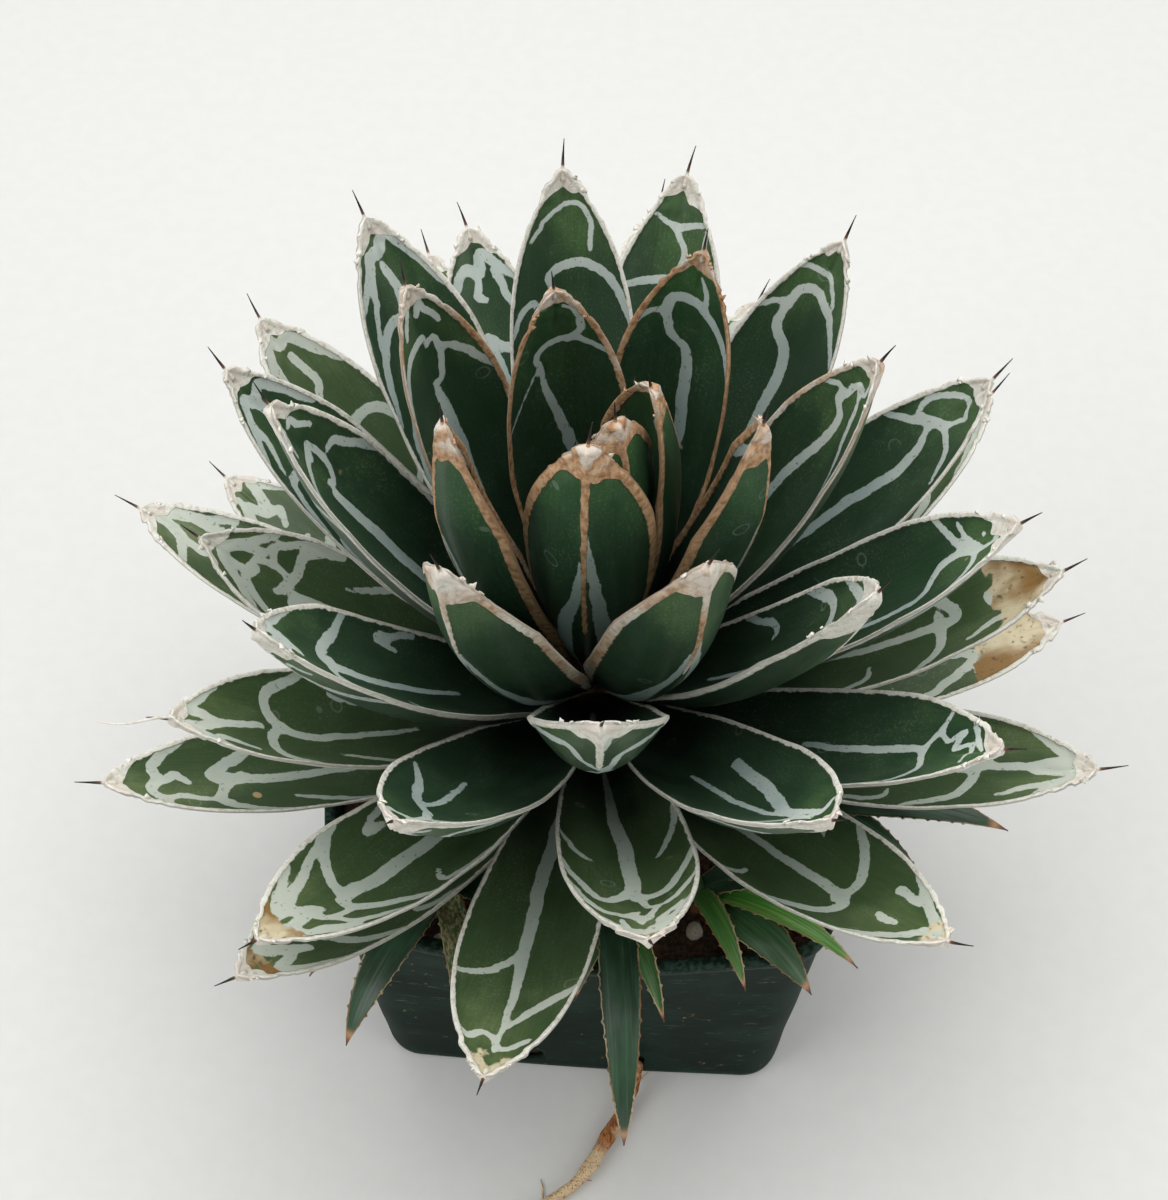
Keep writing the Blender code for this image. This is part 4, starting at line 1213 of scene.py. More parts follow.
# Leaves that differ from their neighbours: how brown their horn is, where the
# blade has dried from, and where the cap starts, as shares of the length.
TANS = {
    0: 0.9, 1: 1.0, 2: 0.9, 3: 0.85, 4: 1.0, 5: 0.75, 6: 0.85, 7: 0.8, 8: 0.85, 9: 0.55,
    10: 0.6, 11: 0.45, 12: 0.5,
}  # fmt: skip
DRIED = {32: 0.80, 53: 0.75, 38: 0.895, 33: 0.875, 46: 0.88, 30: 0.90, 35: 0.90, 29: 0.86}
CAPS = {
    14: 0.81, 6: 0.86, 12: 0.855, 19: 0.845, 16: 0.885, 38: 0.915, 33: 0.915, 30: 0.92,
    35: 0.92,
}  # fmt: skip
TRAILING = 28  # the leaf with a loose thread of dried rim
OLD_LOOK_AFTER = 27  # later leaves are lit and aged like the oldest


@dataclass
class Rosette:
    """All the leaves, from the cone to the withered ones under it."""

    young: LeafCuticle = LeafCuticle(
        "waxy_cuticle_young", "#122017", "#25412A", "#355C30", "#91A4A2", "#B4C0BA", 0.40
    )
    mature: LeafCuticle = LeafCuticle(
        "waxy_cuticle_mature", "#132218", "#2A442D", "#49673B", "#9BAEAB", "#CBD4CC", 0.42
    )
    # greens of the outer leaves: aged, and painted lighter where more light reaches them
    old: LeafCuticle = LeafCuticle(
        "waxy_cuticle_old_lit", "#1D2C1B", "#3E5431", "#66784A", "#A6B3A8", "#CDD3C6", 0.46
    )
    # for the leaves that the tables above don't name
    tan: float = 0.12
    dry_from: float = 1.3
    cap_from: float = 0.868

    def build(self) -> None:
        """Builds every leaf in its finish."""
        finishes = {
            "young_leaf": self.young.make(),
            "mature_leaf": self.mature.make(),
            "old_leaf": self.old.make(),
        }
        for number, index in enumerate((*range(SPIRAL_LEAVES), *OLDEST_LEAVES), start=1):
            slot = "young_leaf" if index < MATURE_AFTER else "mature_leaf"
            if index >= SPIRAL_LEAVES:
                slot = "old_leaf"
            look = finishes["old_leaf"] if index > OLD_LOOK_AFTER else finishes[slot]
            leaf = RosetteLeaf(
                number,
                index,
                tan=TANS.get(index, self.tan),
                dry_from=DRIED.get(index, self.dry_from),
                cap_from=CAPS.get(index, self.cap_from),
                trailing=index == TRAILING,
            )
            leaf.build(look, slot)


# ---- pups -------------------------------------------------------------------
@dataclass(frozen=True)
class PupCuticle:
    """Smooth young cuticle of the offsets, with faint bluish streaks along it.

    The rim is thin tan horn with small teeth, and the tip a fine brown thorn.
    Damaged leaves are wrinkled, pale and corky.
    """

    name: str = "waxy_cuticle_pup"

    def make(self) -> bpy.types.Material:
        """Builds the material.

        Returns:
            The finished pup material.
        """
        f = Finish(self.name)
        streak = f.skin_clouds(0.45, 16.0, 3.0)
        cloud = f.skin_clouds(3.0, 9.0)
        grain = f.skin_clouds(0.5, 0.8, 3.0)
        colour = f.add(Node.MIX, f.add(Node.STEP, cloud, 0.3, 0.7), "#1E3824", "#335339")
        colour = f.add(Node.MIX, f.add(Node.STEP, streak, 0.50, 0.70, 0, 0.28), colour, "#66806C")
        fresh = f.add(Node.MIX, f.add(Node.STEP, streak, 0.4, 0.65), "#3E7A2C", "#6C9A45")
        colour = f.add(Node.MIX, f.stored("fresh"), colour, fresh)
        corky = f.add(Node.MIX, f.add(Node.STEP, grain, 0.4, 0.65), "#4F6A3C", "#B9A987")
        corky = f.add(Node.MIX, f.add(Node.STEP, cloud, 0.55, 0.7, 0, 0.5), corky, "#6E5033")
        withered = f.stored("withered")
        colour = f.add(Node.MIX, withered, colour, corky)
        rim = f.ragged(f.stored("horn"), grain, 0.30, 0.08)
        tan = f.add(Node.MIX, f.add(Node.STEP, cloud, 0.4, 0.6), "#C2AB85", "#8C6642")
        colour = f.add(Node.MIX, rim, colour, tan)
        spine = f.stored("spine")
        thorn = f.add(Node.MIX, f.add(Node.STEP, spine, 0.4, 1.0), "#B98A62", "#5B3324")
        colour = f.add(Node.MIX, f.add(Node.STEP, spine, 0.0, 0.5), colour, thorn)
        rough = f.add(Node.BLEND, rim, 0.38, 0.65)
        height = f.add(Node.ADD, f.add(Node.MULTIPLY, streak, 0.6), f.add(Node.MULTIPLY, grain, 0.3))
        wrinkled = f.add(Node.MULTIPLY, withered, f.add(Node.MULTIPLY, grain, 1.5))
        shader = {"Base Color": colour, "Roughness": rough}
        shader |= {"IOR": 1.45, "Coat Weight": 0.12, "Coat Roughness": 0.3}
        return f.close(shader, f.add(Node.ADD, height, wrinkled), 0.12)


# Each pup's place on the soil in metres, then its leaves: azimuth, first and
# last rise in degrees, length and half width in millimetres, and how fresh and
# how withered they are.
PUPS = {
    "front_left": (
        (-0.031, -0.036),
        (
            (241, 50, -60, 37, 4.4, 0.0, 0.0),
            (282, 52, -80, 38, 3.2, 0.3, 1.0),
            (218, 46, -46, 32, 3.4, 0.6, 0.0),
            (312, 76, -10, 30, 3.6, 0.0, 0.0),
        ),
    ),
    "front": (
        (0.004, -0.040),
        (
            (272, 58, -84, 47, 4.0, 0.0, 0.0),
            (290, 54, -50, 27, 2.4, 0.5, 0.0),
            (250, 54, -50, 22, 2.6, 0.2, 0.0),
        ),
    ),
    "front_right": (
        (0.020, -0.037),
        (
            (314, 54, -48, 32, 5.0, 0.15, 0.0),
            (328, 54, -38, 37, 3.0, 1.0, 0.0),
            (355, 52, -10, 34, 4.2, 0.0, 0.0),
            (292, 54, -44, 25, 2.4, 0.7, 0.0),
        ),
    ),
    "right": (
        (0.040, -0.016),
        (
            (346, 44, -22, 46, 4.8, 0.0, 0.0),
            (322, 48, -56, 36, 4.4, 0.0, 0.0),
            (8, 44, -16, 32, 4.0, 0.1, 0.0),
        ),
    ),
    "back": (
        (-0.008, 0.036),
        (
            (88, 52, -48, 41, 4.1, 0.0, 0.0),
            (132, 46, -46, 36, 3.7, 0.1, 0.0),
            (44, 49, -42, 33, 3.5, 0.0, 0.0),
        ),
    ),
}


@dataclass
class Pup:
    """One offset: a short crown at the soil and its narrow toothed leaves."""

    name: str
    crown_radius: float = 0.0042
    crown_height: float = 0.007
    buried: float = 0.003
    rows: int = 90
    columns: int = 13
    widest_at: float = 0.4
    base_half_mm: float = 2.4
    thickness_mm: float = 1.9
    channel_mm: float = 1.6
    tooth_mm: float = 0.45  # how far a tooth stands out
    tooth_pitch_mm: float = 2.3
    patches: Patchwork = field(default_factory=Patchwork, init=False)

    def leaf(self, number: int, crown: Array, sizes: tuple[float, ...]) -> None:
        """Adds one arching leaf.

        Args:
            number: Its place on the crown.
            crown: Top of the crown.
            sizes: Its row of PUPS.
        """
        azimuth, first, last, length, half_mm, fresh, withered = sizes
        turn, first, last = (math.radians(a) for a in (azimuth, first, last))
        away, across = headings(turn)
        below = self.crown_height * (0.45 - 0.1 * number)
        foot = crown + away * self.crown_radius * 0.3 - UP * below
        share = np.linspace(0, 1, self.rows)
        out, rise, slope = midrib((first + last) / 2, last - first, length * MM, share)
        origin = foot + out[:, None] * away + rise[:, None] * UP
        normal = np.cos(slope)[:, None] * UP - np.sin(slope)[:, None] * away
        swell = np.sin(np.pi / 2 * np.minimum(1, share / self.widest_at))
        narrowing = 1 - np.clip((share - self.widest_at) / (1 - self.widest_at), 0, 1) ** 1.6
        half = (self.base_half_mm + (half_mm - self.base_half_mm) * swell) * narrowing
        seed = azimuth * 0.37
        along = share * length
        half = np.maximum(half, 0.16 + 0.25 * (1 - share))
        thick = np.maximum(self.thickness_mm * (1 - share**2), 0.22)
        channel = self.channel_mm * np.minimum(1, share / CHANNEL_STARTS) * (1 - share)
        tooth = np.maximum(0, np.cos(2 * np.pi * along / self.tooth_pitch_mm)) ** 5
        tooth = tooth * self.tooth_mm * smoothstep(0.1, 0.25, share) * smoothstep(0.93, 0.8, share)
        twist = withered * 0.9 * value_noise(share * 4, share * 0, seed)
        # a loop across the upper face and back under the lower one
        x = np.linspace(-1, 1, self.columns)
        loop_x = np.concatenate((x, x[::-1][1:-1]))
        under = np.concatenate((np.zeros(self.columns), np.ones(self.columns - 2)))
        sideways = loop_x[None] * half[:, None]
        sideways = sideways + (np.abs(loop_x) > 0.95)[None] * np.sign(loop_x)[None] * tooth[:, None]
        depth = under * (1 - np.abs(loop_x) ** 2.4)
        lift = channel[:, None] * loop_x[None] ** 2 - thick[:, None] * depth[None]
        crease = withered * 0.55 * value_noise(sideways / 1.1, along[:, None] / 3.0, seed + 3)
        lift = lift + crease + 0.07 * value_noise(sideways / 0.8, along[:, None] / 9, seed + 4)
        turned_x = np.cos(twist)[:, None] * sideways - np.sin(twist)[:, None] * lift
        turned_y = np.sin(twist)[:, None] * sideways + np.cos(twist)[:, None] * lift
        rings = origin[:, None] + turned_x[..., None] * MM * across
        rings = rings + turned_y[..., None] * MM * normal[:, None]
        horn = (1 - np.abs(loop_x))[None] * half[:, None] - 0.22
        fields = {
            "horn": horn,
            "spine": np.broadcast_to(smoothstep(0.88, 1.0, share)[:, None], sideways.shape),
            "across": sideways + under * 11,
            "along": np.broadcast_to(along[:, None], sideways.shape),
            "fresh": fresh,
            "withered": withered,
            "seed": seed,
        }
        fields = {k: v[:, ::-1] if np.ndim(v) == 2 else v for k, v in fields.items()}
        self.patches.add_tube(rings[:, ::-1], fields)

    def crown_body(self, low: Array) -> None:
        """Adds the crown: short overlapping leaf bases round a bud.

        Args:
            low: Its lowest point.
        """
        angle = around(24)
        height = np.linspace(0, 1, 14)
        profile = np.interp(height, (0, 0.2, 0.6, 0.85, 1), (0.86, 1.0, 0.9, 0.6, 0.12))
        folds = 1 + 0.08 * np.sin(3 * angle[None] + 5 * height[:, None]) - 0.05
        radius = self.crown_radius * profile[:, None] * folds
        centres = low + height[:, None] * self.crown_height * 1.15 * UP
        rings = hoops(centres, radius, EAST, NORTH, angle.size)
        tan = np.broadcast_to(0.6 - height[:, None] * 2.0, radius.shape)
        fields = {"horn": -tan, "across": angle[None] * 4, "along": height[:, None] * 7}
        self.patches.add_tube(rings, fields | {"spine": 0.0, "fresh": 0.3, "withered": 0.0, "seed": 3.0})

    def build(self, material: bpy.types.Material) -> bpy.types.Object:
        """Builds the pup.

        Args:
            material: Its finish.

        Returns:
            The piece.
        """
        (x, y), leaves = PUPS[self.name]
        low = np.array((x, y, soil_height(x, y) - self.buried))
        self.crown_body(low)
        for number, sizes in enumerate(leaves):
            self.leaf(number, low + self.crown_height * UP, sizes)
        piece = self.patches.finish(f"pup_{self.name}", material)
        return hand_over(piece, "offset_leaf", f"offset_{self.name}")


# ---- stem -------------------------------------------------------------------
@dataclass(frozen=True)
class CorkyBark:
    """Dry corky bark of a short old stem or a root: fibrous, matt and warm."""

    name: str
    dark: str
    light: str
    bare: str  # where the bark has rubbed off
    fibre_mm: tuple[float, float, float]

    def make(self) -> bpy.types.Material:
        """Builds the material.

        Returns:
            The finished bark.
        """
        f = Finish(self.name)
        along = f.solid_clouds(tuple(1 / size for size in self.fibre_mm), 4.0)
        patch = f.solid_clouds(0.22, 3.0)
        grit = f.solid_clouds(2.2)
        colour = f.add(Node.MIX, f.add(Node.STEP, along, 0.35, 0.65), self.dark, self.light)
        colour = f.add(Node.MIX, f.add(Node.STEP, patch, 0.5, 0.62, 0, 0.6), colour, self.bare)
        rubbed = f.add(Node.MULTIPLY, f.stored("bare"), f.add(Node.STEP, grit, 0.3, 0.55))
        colour = f.add(Node.MIX, rubbed, colour, self.bare)
        colour = f.add(Node.MIX, f.add(Node.STEP, grit, 0.6, 0.75, 0, 0.5), colour, self.dark)
        height = f.add(Node.ADD, along, f.add(Node.MULTIPLY, grit, 0.5))
        return f.close({"Base Color": colour, "Roughness": 0.82}, height, 0.35)


@dataclass
class Stem:
    """The squat stem, ringed by the scars of leaves that it has lost."""

    buried: float = 0.012
    rows: int = 90
    sides: int = 48
    scar_pitch: float = 0.0021
    husk_count: int = 16
    husk_turn: float = 2.39996  # the golden angle
    husk_from: float = 0.0725  # height of the lowest one
    husk_range: float = 0.0085
    husk_out: float = 0.0076
    patches: Patchwork = field(default_factory=Patchwork, init=False)

    def build(self) -> bpy.types.Object:
        """Builds the stem.

        Returns:
            The piece.
        """
        x, y, top = ROSETTE_CENTRE
        bottom = soil_height(x, y) - self.buried
        height = np.linspace(bottom, top + 0.0018, self.rows)
        angle = around(self.sides)
        radius = np.array([stem_radius(h) for h in height])[:, None] * np.ones(self.sides)
        turns = (height[:, None] - bottom) / self.scar_pitch + angle / (2 * np.pi) * 2
        scars = 0.22 * MM * np.abs(np.sin(np.pi * turns)) ** 0.6
        rough = 0.20 * MM * value_noise(angle[None] * 3, height[:, None] / 0.0012, 5.0)
        radius = np.maximum(radius + scars - 0.35 * MM + rough, 0.4 * MM)
        radius[-3:] *= np.array((0.8, 0.5, 0.1))[:, None]
        centres = np.stack((np.full(self.rows, x), np.full(self.rows, y), height), -1)
        rings = hoops(centres, radius, EAST, NORTH, self.sides)
        self.patches.add_tube(rings, {"bare": 0.0})
        self.husks()
        finish = CorkyBark("corky_stem_bark", "#4A3522", "#8F7350", "#B59C74", (0.8, 0.8, 0.35))
        return hand_over(self.patches.finish("scarred_stem", finish.make()), "stem_bark", "stem")

    def husks(self) -> None:
        """Adds the papery bases of leaves that have been pulled off."""
        rng = np.random.default_rng(77)
        for k in range(self.husk_count):
            away, across = headings(self.husk_turn * k)
            away = away + 0.25 * UP
            height = self.husk_from + self.husk_range * rng.random()
            foot = np.array((*ROSETTE_CENTRE[:2], height)) + away * self.husk_out
            size = rng.uniform(2.0, 4.2) * MM
            share = np.linspace(0, 1, 7)
            width = (2.6 - 1.3 * share + 0.4 * value_noise(share * 6, share * 0, k)) * MM
            width[-1] *= 0.5
            middle = foot + share[:, None] * size * away - 0.8 * size * (share**2)[:, None] * UP
            x = np.linspace(-1, 1, 5)
            flat = middle[:, None] + (width[:, None] * x)[..., None] * across
            flat = flat + (0.9 * MM * x**2)[None, :, None] * UP
            low = flat[:, ::-1] - 0.25 * MM * UP
            self.patches.add_tube(np.concatenate((flat, low), 1)[:, ::-1], {"bare": 0.7})


# ---- pot --------------------------------------------------------------------
@dataclass(frozen=True)
class ScuffedPolypropylene:
    """Thin injection-moulded polypropylene, dark green and semi-gloss.

    Handling has scuffed it: short pale scratches, and a film of dried splashes
    and dust. Its rounded foot and lip are painted lighter, a painted highlight.
    """

    name: str = "scuffed_polypropylene"

    def make(self) -> bpy.types.Material:
        """Builds the material.

        Returns:
            The finished plastic.
        """
        f = Finish(self.name)
        cloud = f.solid_clouds((0.06, 0.06, 0.09), 4.0)
        dust = f.solid_clouds(0.9, 5.0)
        streak_one = f.solid_clouds((0.10, 0.10, 1.5), 3.0)
        streak_two = f.solid_clouds((0.35, 0.35, 1.1), 4.0)
        colour = f.add(Node.MIX, f.add(Node.STEP, cloud, 0.35, 0.65), "#0B1D15", "#12291F")
        dusty = f.add(Node.STEP, cloud, 0.45, 0.68, 0.03, 0.30)
        film = f.add(Node.MULTIPLY, f.add(Node.STEP, dust, 0.54, 0.72), dusty)
        colour = f.add(Node.MIX, film, colour, "#4C5F52")
        broken = f.add(Node.STEP, streak_two, 0.45, 0.6)
        scuff = f.add(Node.MULTIPLY, f.add(Node.STEP, streak_one, 0.61, 0.70), broken)
        colour = f.add(Node.MIX, f.add(Node.MULTIPLY, scuff, 0.5), colour, "#75877A")
        # painted highlight: the rounded foot and lip edges painted a lighter green, broken up by the dust
        # noise
        edge_highlight = f.add(Node.MULTIPLY, f.stored("edge"), f.add(Node.STEP, dust, 0.42, 0.62, 0.10, 0.7))
        colour = f.add(Node.MIX, edge_highlight, colour, "#40554A")
        splash = f.solid_clouds(0.35)
        crumbly = f.add(Node.STEP, dust, 0.45, 0.6)
        soiled = f.add(Node.MULTIPLY, f.add(Node.STEP, splash, 0.68, 0.72), crumbly)
        colour = f.add(Node.MIX, soiled, colour, "#7A6144")
        rough = f.add(Node.ADD, 0.55, f.add(Node.MULTIPLY, f.add(Node.MAXIMUM, film, scuff), 0.35))
        height = f.add(Node.ADD, f.add(Node.MULTIPLY, streak_two, 0.5), f.add(Node.MULTIPLY, dust, 0.4))
        shader = {"Base Color": colour, "Roughness": rough, "IOR": 1.49, "Specular IOR Level": 0.07}
        return f.close(shader, height, 0.06)


@dataclass
class NurseryPot:
    """Square tapered pot with a thin rolled lip and two drain holes a side."""

    rim_half: float = 0.050
    base_half: float = 0.045
    wall: float = 0.0012
    floor: float = 0.0016
    corner: float = 0.008
    rim_bulge: float = 0.006
    base_bulge: float = 0.0008
    yaw: float = math.radians(-4)
    lip_depth: float = 0.004
    lip_out: float = 0.0013
    drain_radius: float = 0.0034
    drain_height: float = 0.0085
    drain_spacing: float = 0.023
    side_steps: int = 30
    corner_steps: int = 9

    def ring(self, height: float, inset: float) -> Array:
        """The pot's section.

        Args:
            height: Height above the floor.
            inset: How far it is moved in.

        Returns:
            Points, one row each, anticlockwise seen from above.
        """
        share = height / POT_HEIGHT
        half = self.base_half + (self.rim_half - self.base_half) * share - inset
        bulge = self.base_bulge + (self.rim_bulge - self.base_bulge) * share**2
        radius = self.corner - inset
        straight = half - radius
        along = -straight + 2 * straight * np.arange(self.side_steps) / self.side_steps
        bow = bulge * np.cos(np.pi / 2 * along / half) ** 1.5
        angle = np.pi / 2 * np.arange(self.corner_steps) / self.corner_steps
        edge_bow = bulge * math.cos(math.pi / 2 * straight / half) ** 1.5
        reach = radius + edge_bow * (1 - np.sin(2 * angle))
        x = np.concatenate((half + bow, straight + reach * np.cos(angle)))
        y = np.concatenate((along, straight + reach * np.sin(angle)))
        points = []
        for side in range(4):
            away, across = headings(self.yaw + side * math.pi / 2)
            points.append(x[:, None] * away + y[:, None] * across + height * UP)
        return np.concatenate(points)

    def build(self) -> bpy.types.Object:
        """Builds the pot.

        Returns:
            The piece.
        """
        lip = POT_HEIGHT - self.lip_depth
        # height, how far in it stands, and how strong the painted edge highlight is: up the outside and
        # down the inside
        profile = [(0.0, 0.0014, 0.4), (0.0003, 0.0005, 1.0), (0.0010, 0.0001, 1.0), (0.0022, 0.0, 0.5)]
        profile += [(h, 0.0, 0.0) for h in np.linspace(0.0034, lip - 0.001, 34)]
        profile += [
            (lip - 0.0002, 0.0, 0.0), (lip, -self.lip_out * 0.75, 0.3), (lip + 0.0005, -self.lip_out, 0.7),
            (lip + 0.0018, -self.lip_out, 0.4), (POT_HEIGHT - 0.0006, -self.lip_out, 0.8),
            (POT_HEIGHT - 0.0001, -self.lip_out * 0.6, 1.0), (POT_HEIGHT, -self.lip_out * 0.1, 1.0),
            (POT_HEIGHT - 0.0001, self.wall * 0.7, 1.0), (POT_HEIGHT - 0.0007, self.wall, 0.7),
        ]  # fmt: skip
        profile += [(h, self.wall, 0.0) for h in np.linspace(POT_HEIGHT - 0.003, self.floor, 12)]
        rings, edge = [], []
        for height, inset, edge_highlight in profile:
            ring = self.ring(height, inset)
            turn = np.arctan2(ring[:, 1], ring[:, 0])
            dent = 0.30 * MM * value_noise(turn * 5, np.full(turn.size, height / 0.018), 9.0)
            dent = dent * smoothstep(0.002, 0.02, height)
            dent = dent * (smoothstep(0, 0.004, POT_HEIGHT - height) * 0.6 + 0.4)
            outward = ring[:, :2] / np.linalg.norm(ring[:, :2], axis=1)[:, None]
            ring[:, :2] += outward * dent[:, None]
            rings.append(ring)
            edge.append(np.full(len(ring), edge_highlight))
        patches = Patchwork()
        patches.add_tube(np.array(rings), {"edge": np.array(edge)})
        pot = patches.finish("nursery_pot", ScuffedPolypropylene().make())
        self.drill(pot)
        return hand_over(pot, "pot_plastic", "pot")

    def drill(self, pot: bpy.types.Object) -> None:
        """Cuts the drain holes.

        Args:
            pot: The pot's object.
        """
        cutters = []
        reach = 0.008
        for k in range(8):
            across, direction = headings(self.yaw + (k // 2) * math.pi / 2)
            direction = -direction
            middle = across * (self.drain_spacing / 2 * (1 if k % 2 else -1))
            middle = middle + direction * self.base_half + UP * self.drain_height
            ends = np.array([middle - direction * reach, middle + direction * reach])
            patches = Patchwork()
            patches.add_tube(hoops(ends, self.drain_radius, across, UP, 32), {"edge": 1.0})
            cutters.append(patches.finish(f"drill_{k}", pot.data.materials[0]))
        for cutter in cutters:
            cut = pot.modifiers.new(cutter.name, "BOOLEAN")
            cut.operation = "DIFFERENCE"
            cut.solver = "EXACT"
            cut.object = cutter
        bpy.context.view_layer.update()
        graph = bpy.context.evaluated_depsgraph_get()
        shaped = bpy.data.meshes.new_from_object(pot.evaluated_get(graph))
        pot.modifiers.clear()
        pot.data = shaped
        for cutter in cutters:
            bpy.data.objects.remove(cutter, do_unlink=True)


# ---- soil -------------------------------------------------------------------
def soil_height(x: Array, y: Array) -> Array:
    """Height of the soil's surface at a point, in metres."""
    from_stem = np.hypot(x - ROSETTE_CENTRE[0], y - ROSETTE_CENTRE[1])
    mound = SOIL_MOUND * (1 - np.minimum(1, from_stem / 0.050))
    uneven = 0.0005 * np.sin(x * 190) * np.cos(y * 230)
    return POT_HEIGHT - SOIL_BELOW_RIM + mound + uneven


@dataclass(frozen=True)
class GrittyMix:
    """Peaty potting mix with grit: matt, dark and crumbly.

    Each stone has its own tone, from black bark through tan pumice to white
    perlite, and its pores show as fine pits.
    """

    name: str
    dark: str = "#2A1C13"
    light: str = "#553B27"

    def make(self) -> bpy.types.Material:
        """Builds the material.

        Returns:
            The finished mix.
        """
        f = Finish(self.name)
        crumb = f.solid_clouds(0.9, 4.0)
        pore = f.solid_clouds(3.2)
        soil = f.add(Node.MIX, f.add(Node.STEP, crumb, 0.35, 0.68), self.dark, self.light)
        tone = f.stored("tone")
        stone = f.add(Node.MIX, f.add(Node.STEP, tone, 0.05, 0.45), soil, "#8A5A34")
        stone = f.add(Node.MIX, f.add(Node.STEP, tone, 0.45, 0.75), stone, "#B98E66")
        stone = f.add(Node.MIX, f.add(Node.STEP, tone, 0.78, 0.95), stone, "#D5CDBD")
        stone = f.add(Node.MIX, f.add(Node.STEP, pore, 0.55, 0.7, 0, 0.45), stone, self.dark)
        height = f.add(Node.ADD, crumb, f.add(Node.MULTIPLY, pore, 0.6))
        return f.close({"Base Color": stone, "Roughness": 0.95}, height, 0.5)


def stone_shape(detail: int) -> tuple[Array, list[tuple[int, ...]]]:
    """A round body to make stones from.

    Args:
        detail: Subdivisions.

    Returns:
        Its points on the unit sphere, and its faces.
    """
    bm = bmesh.new()
    bmesh.ops.create_icosphere(bm, subdivisions=detail, radius=1)
    points = np.array([vertex.co for vertex in bm.verts])
    faces = [tuple(vertex.index for vertex in face.verts) for face in bm.faces]
    bm.free()
    return points, faces


def stone(points: Array, radius: float, flat: float, seed: float) -> Array:
    """Roughens a unit sphere into a stone.

    Args:
        points: The sphere's points.
        radius: Size of the stone.
        flat: Its height as a share of its width.
        seed: Its own pattern.

    Returns:
        Points round the stone's centre.
    """
    bumps = value_noise(points[:, 0] * 1.4 + points[:, 2], points[:, 1] * 1.4, seed)
    pits = value_noise(points[:, 0] * 4 + points[:, 2] * 3, points[:, 1] * 4, seed + 1)
    size = radius * (1 + 0.20 * bumps + 0.07 * pits)
    return points * size[:, None] * np.array((1.0, 0.86, flat))


@dataclass
class Soil:
    """The potting mix: its crumbly surface, loose grit and the larger pebbles."""

    pot: NurseryPot
    grains: int = 1500
    # fired clay grains: place and radius, in millimetres
    clay_grains: tuple[tuple[float, float, float], ...] = (
        (-23.4, -26.0, 3.1), (-23.7, -42.5, 2.2), (30.5, -31.0, 2.0), (-38.0, 3.5, 2.3),
        (43.0, 12.0, 2.4),
    )  # fmt: skip
    spread: float = 0.047  # how far from the middle grit lies
    clear_of_stem: float = 0.010
    stone_tones: tuple[tuple[str, float], ...] = (
        ("pebble_left", 0.62), ("pebble_front", 0.40), ("pebble_right", 0.58),
    )  # fmt: skip
    patches: Patchwork = field(default_factory=Patchwork, init=False)

    def surface(self) -> None:
        """Adds the crumbly top of the mix."""
        outline = self.pot.ring(POT_HEIGHT - SOIL_BELOW_RIM, self.pot.wall + 0.0003)
        shares = np.linspace(1, 0.04, 60)
        x = shares[:, None] * outline[:, 0]
        y = shares[:, None] * outline[:, 1]
        crumbs = 0.0009 + 0.0009 * value_noise(x / 0.0021, y / 0.0021, 2.0)
        crumbs = crumbs + 0.0004 * value_noise(x / 0.0008, y / 0.0008, 3.0)
        top = np.stack((x, y, soil_height(x, y) + crumbs), -1)
        under = top[:1].copy()
        under[..., 2] -= 0.003
        self.patches.add_tube(np.concatenate((under, top)), {"tone": 0.0})

    def grit(self) -> None:
        """Scatters grit over the surface."""
        rng = np.random.default_rng(12)
        points, faces = stone_shape(2)
        for k in range(self.grains):
            x, y = rng.uniform(-self.spread, self.spread, 2)
            radius = rng.choice((0.5, 0.8, 1.2, 1.9), p=(0.45, 0.33, 0.17, 0.05)) * MM
            radius *= rng.uniform(0.8, 1.25)
            spin = rng.uniform(0, 2 * np.pi)
            tone = rng.choice((0.1, 0.3, 0.55, 0.9), p=(0.5, 0.28, 0.15, 0.07))
            tone += rng.uniform(-0.08, 0.08)
            if np.hypot(x - ROSETTE_CENTRE[0], y - ROSETTE_CENTRE[1]) < self.clear_of_stem:
                continue
            body = stone(points, radius, rng.uniform(0.45, 0.9), k)
            turned = body @ np.array(Matrix.Rotation(spin, 3, "Z")).T
            height = soil_height(x, y) + 0.0008 + radius * 0.25
            self.patches.add(turned + np.array((x, y, height)), faces, {"tone": tone})
        for k, (x, y, radius) in enumerate(self.clay_grains):
            body = stone(points, radius * MM, 0.8, 90 + k)
            spot = np.array((x, y, soil_height(x * MM, y * MM) / MM + radius * 0.75)) * MM
            self.patches.add(body + spot, faces, {"tone": 0.5})

    def pebbles(self, material: bpy.types.Material) -> None:
        """Builds the three larger pebbles.

        Args:
            material: Their finish.
        """
        points, faces = stone_shape(4)
        for name, tone in self.stone_tones:
            low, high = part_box(name)
            middle = np.array((low + high) / 2)
            half = (high - low) / 2
            pebble = Patchwork()
            body = stone(points, half.x * 0.95, half.z / half.x, tone * 100)
            pebble.add(body + middle, faces, {"tone": tone})
            hand_over(pebble.finish(f"pumice_{name}", material), "pumice", name)

    def build(self) -> None:
        """Builds the soil and its stones."""
        mix = GrittyMix("gritty_potting_mix").make()
        self.surface()
        self.grit()
        hand_over(self.patches.finish("soil_surface", mix), "potting_soil")
        body = bpy.data.objects["soil"]
        body.data.materials.clear()
        body.data.materials.append(mix)
        self.pebbles(GrittyMix("pumice", "#4A3020", "#8A6444").make())


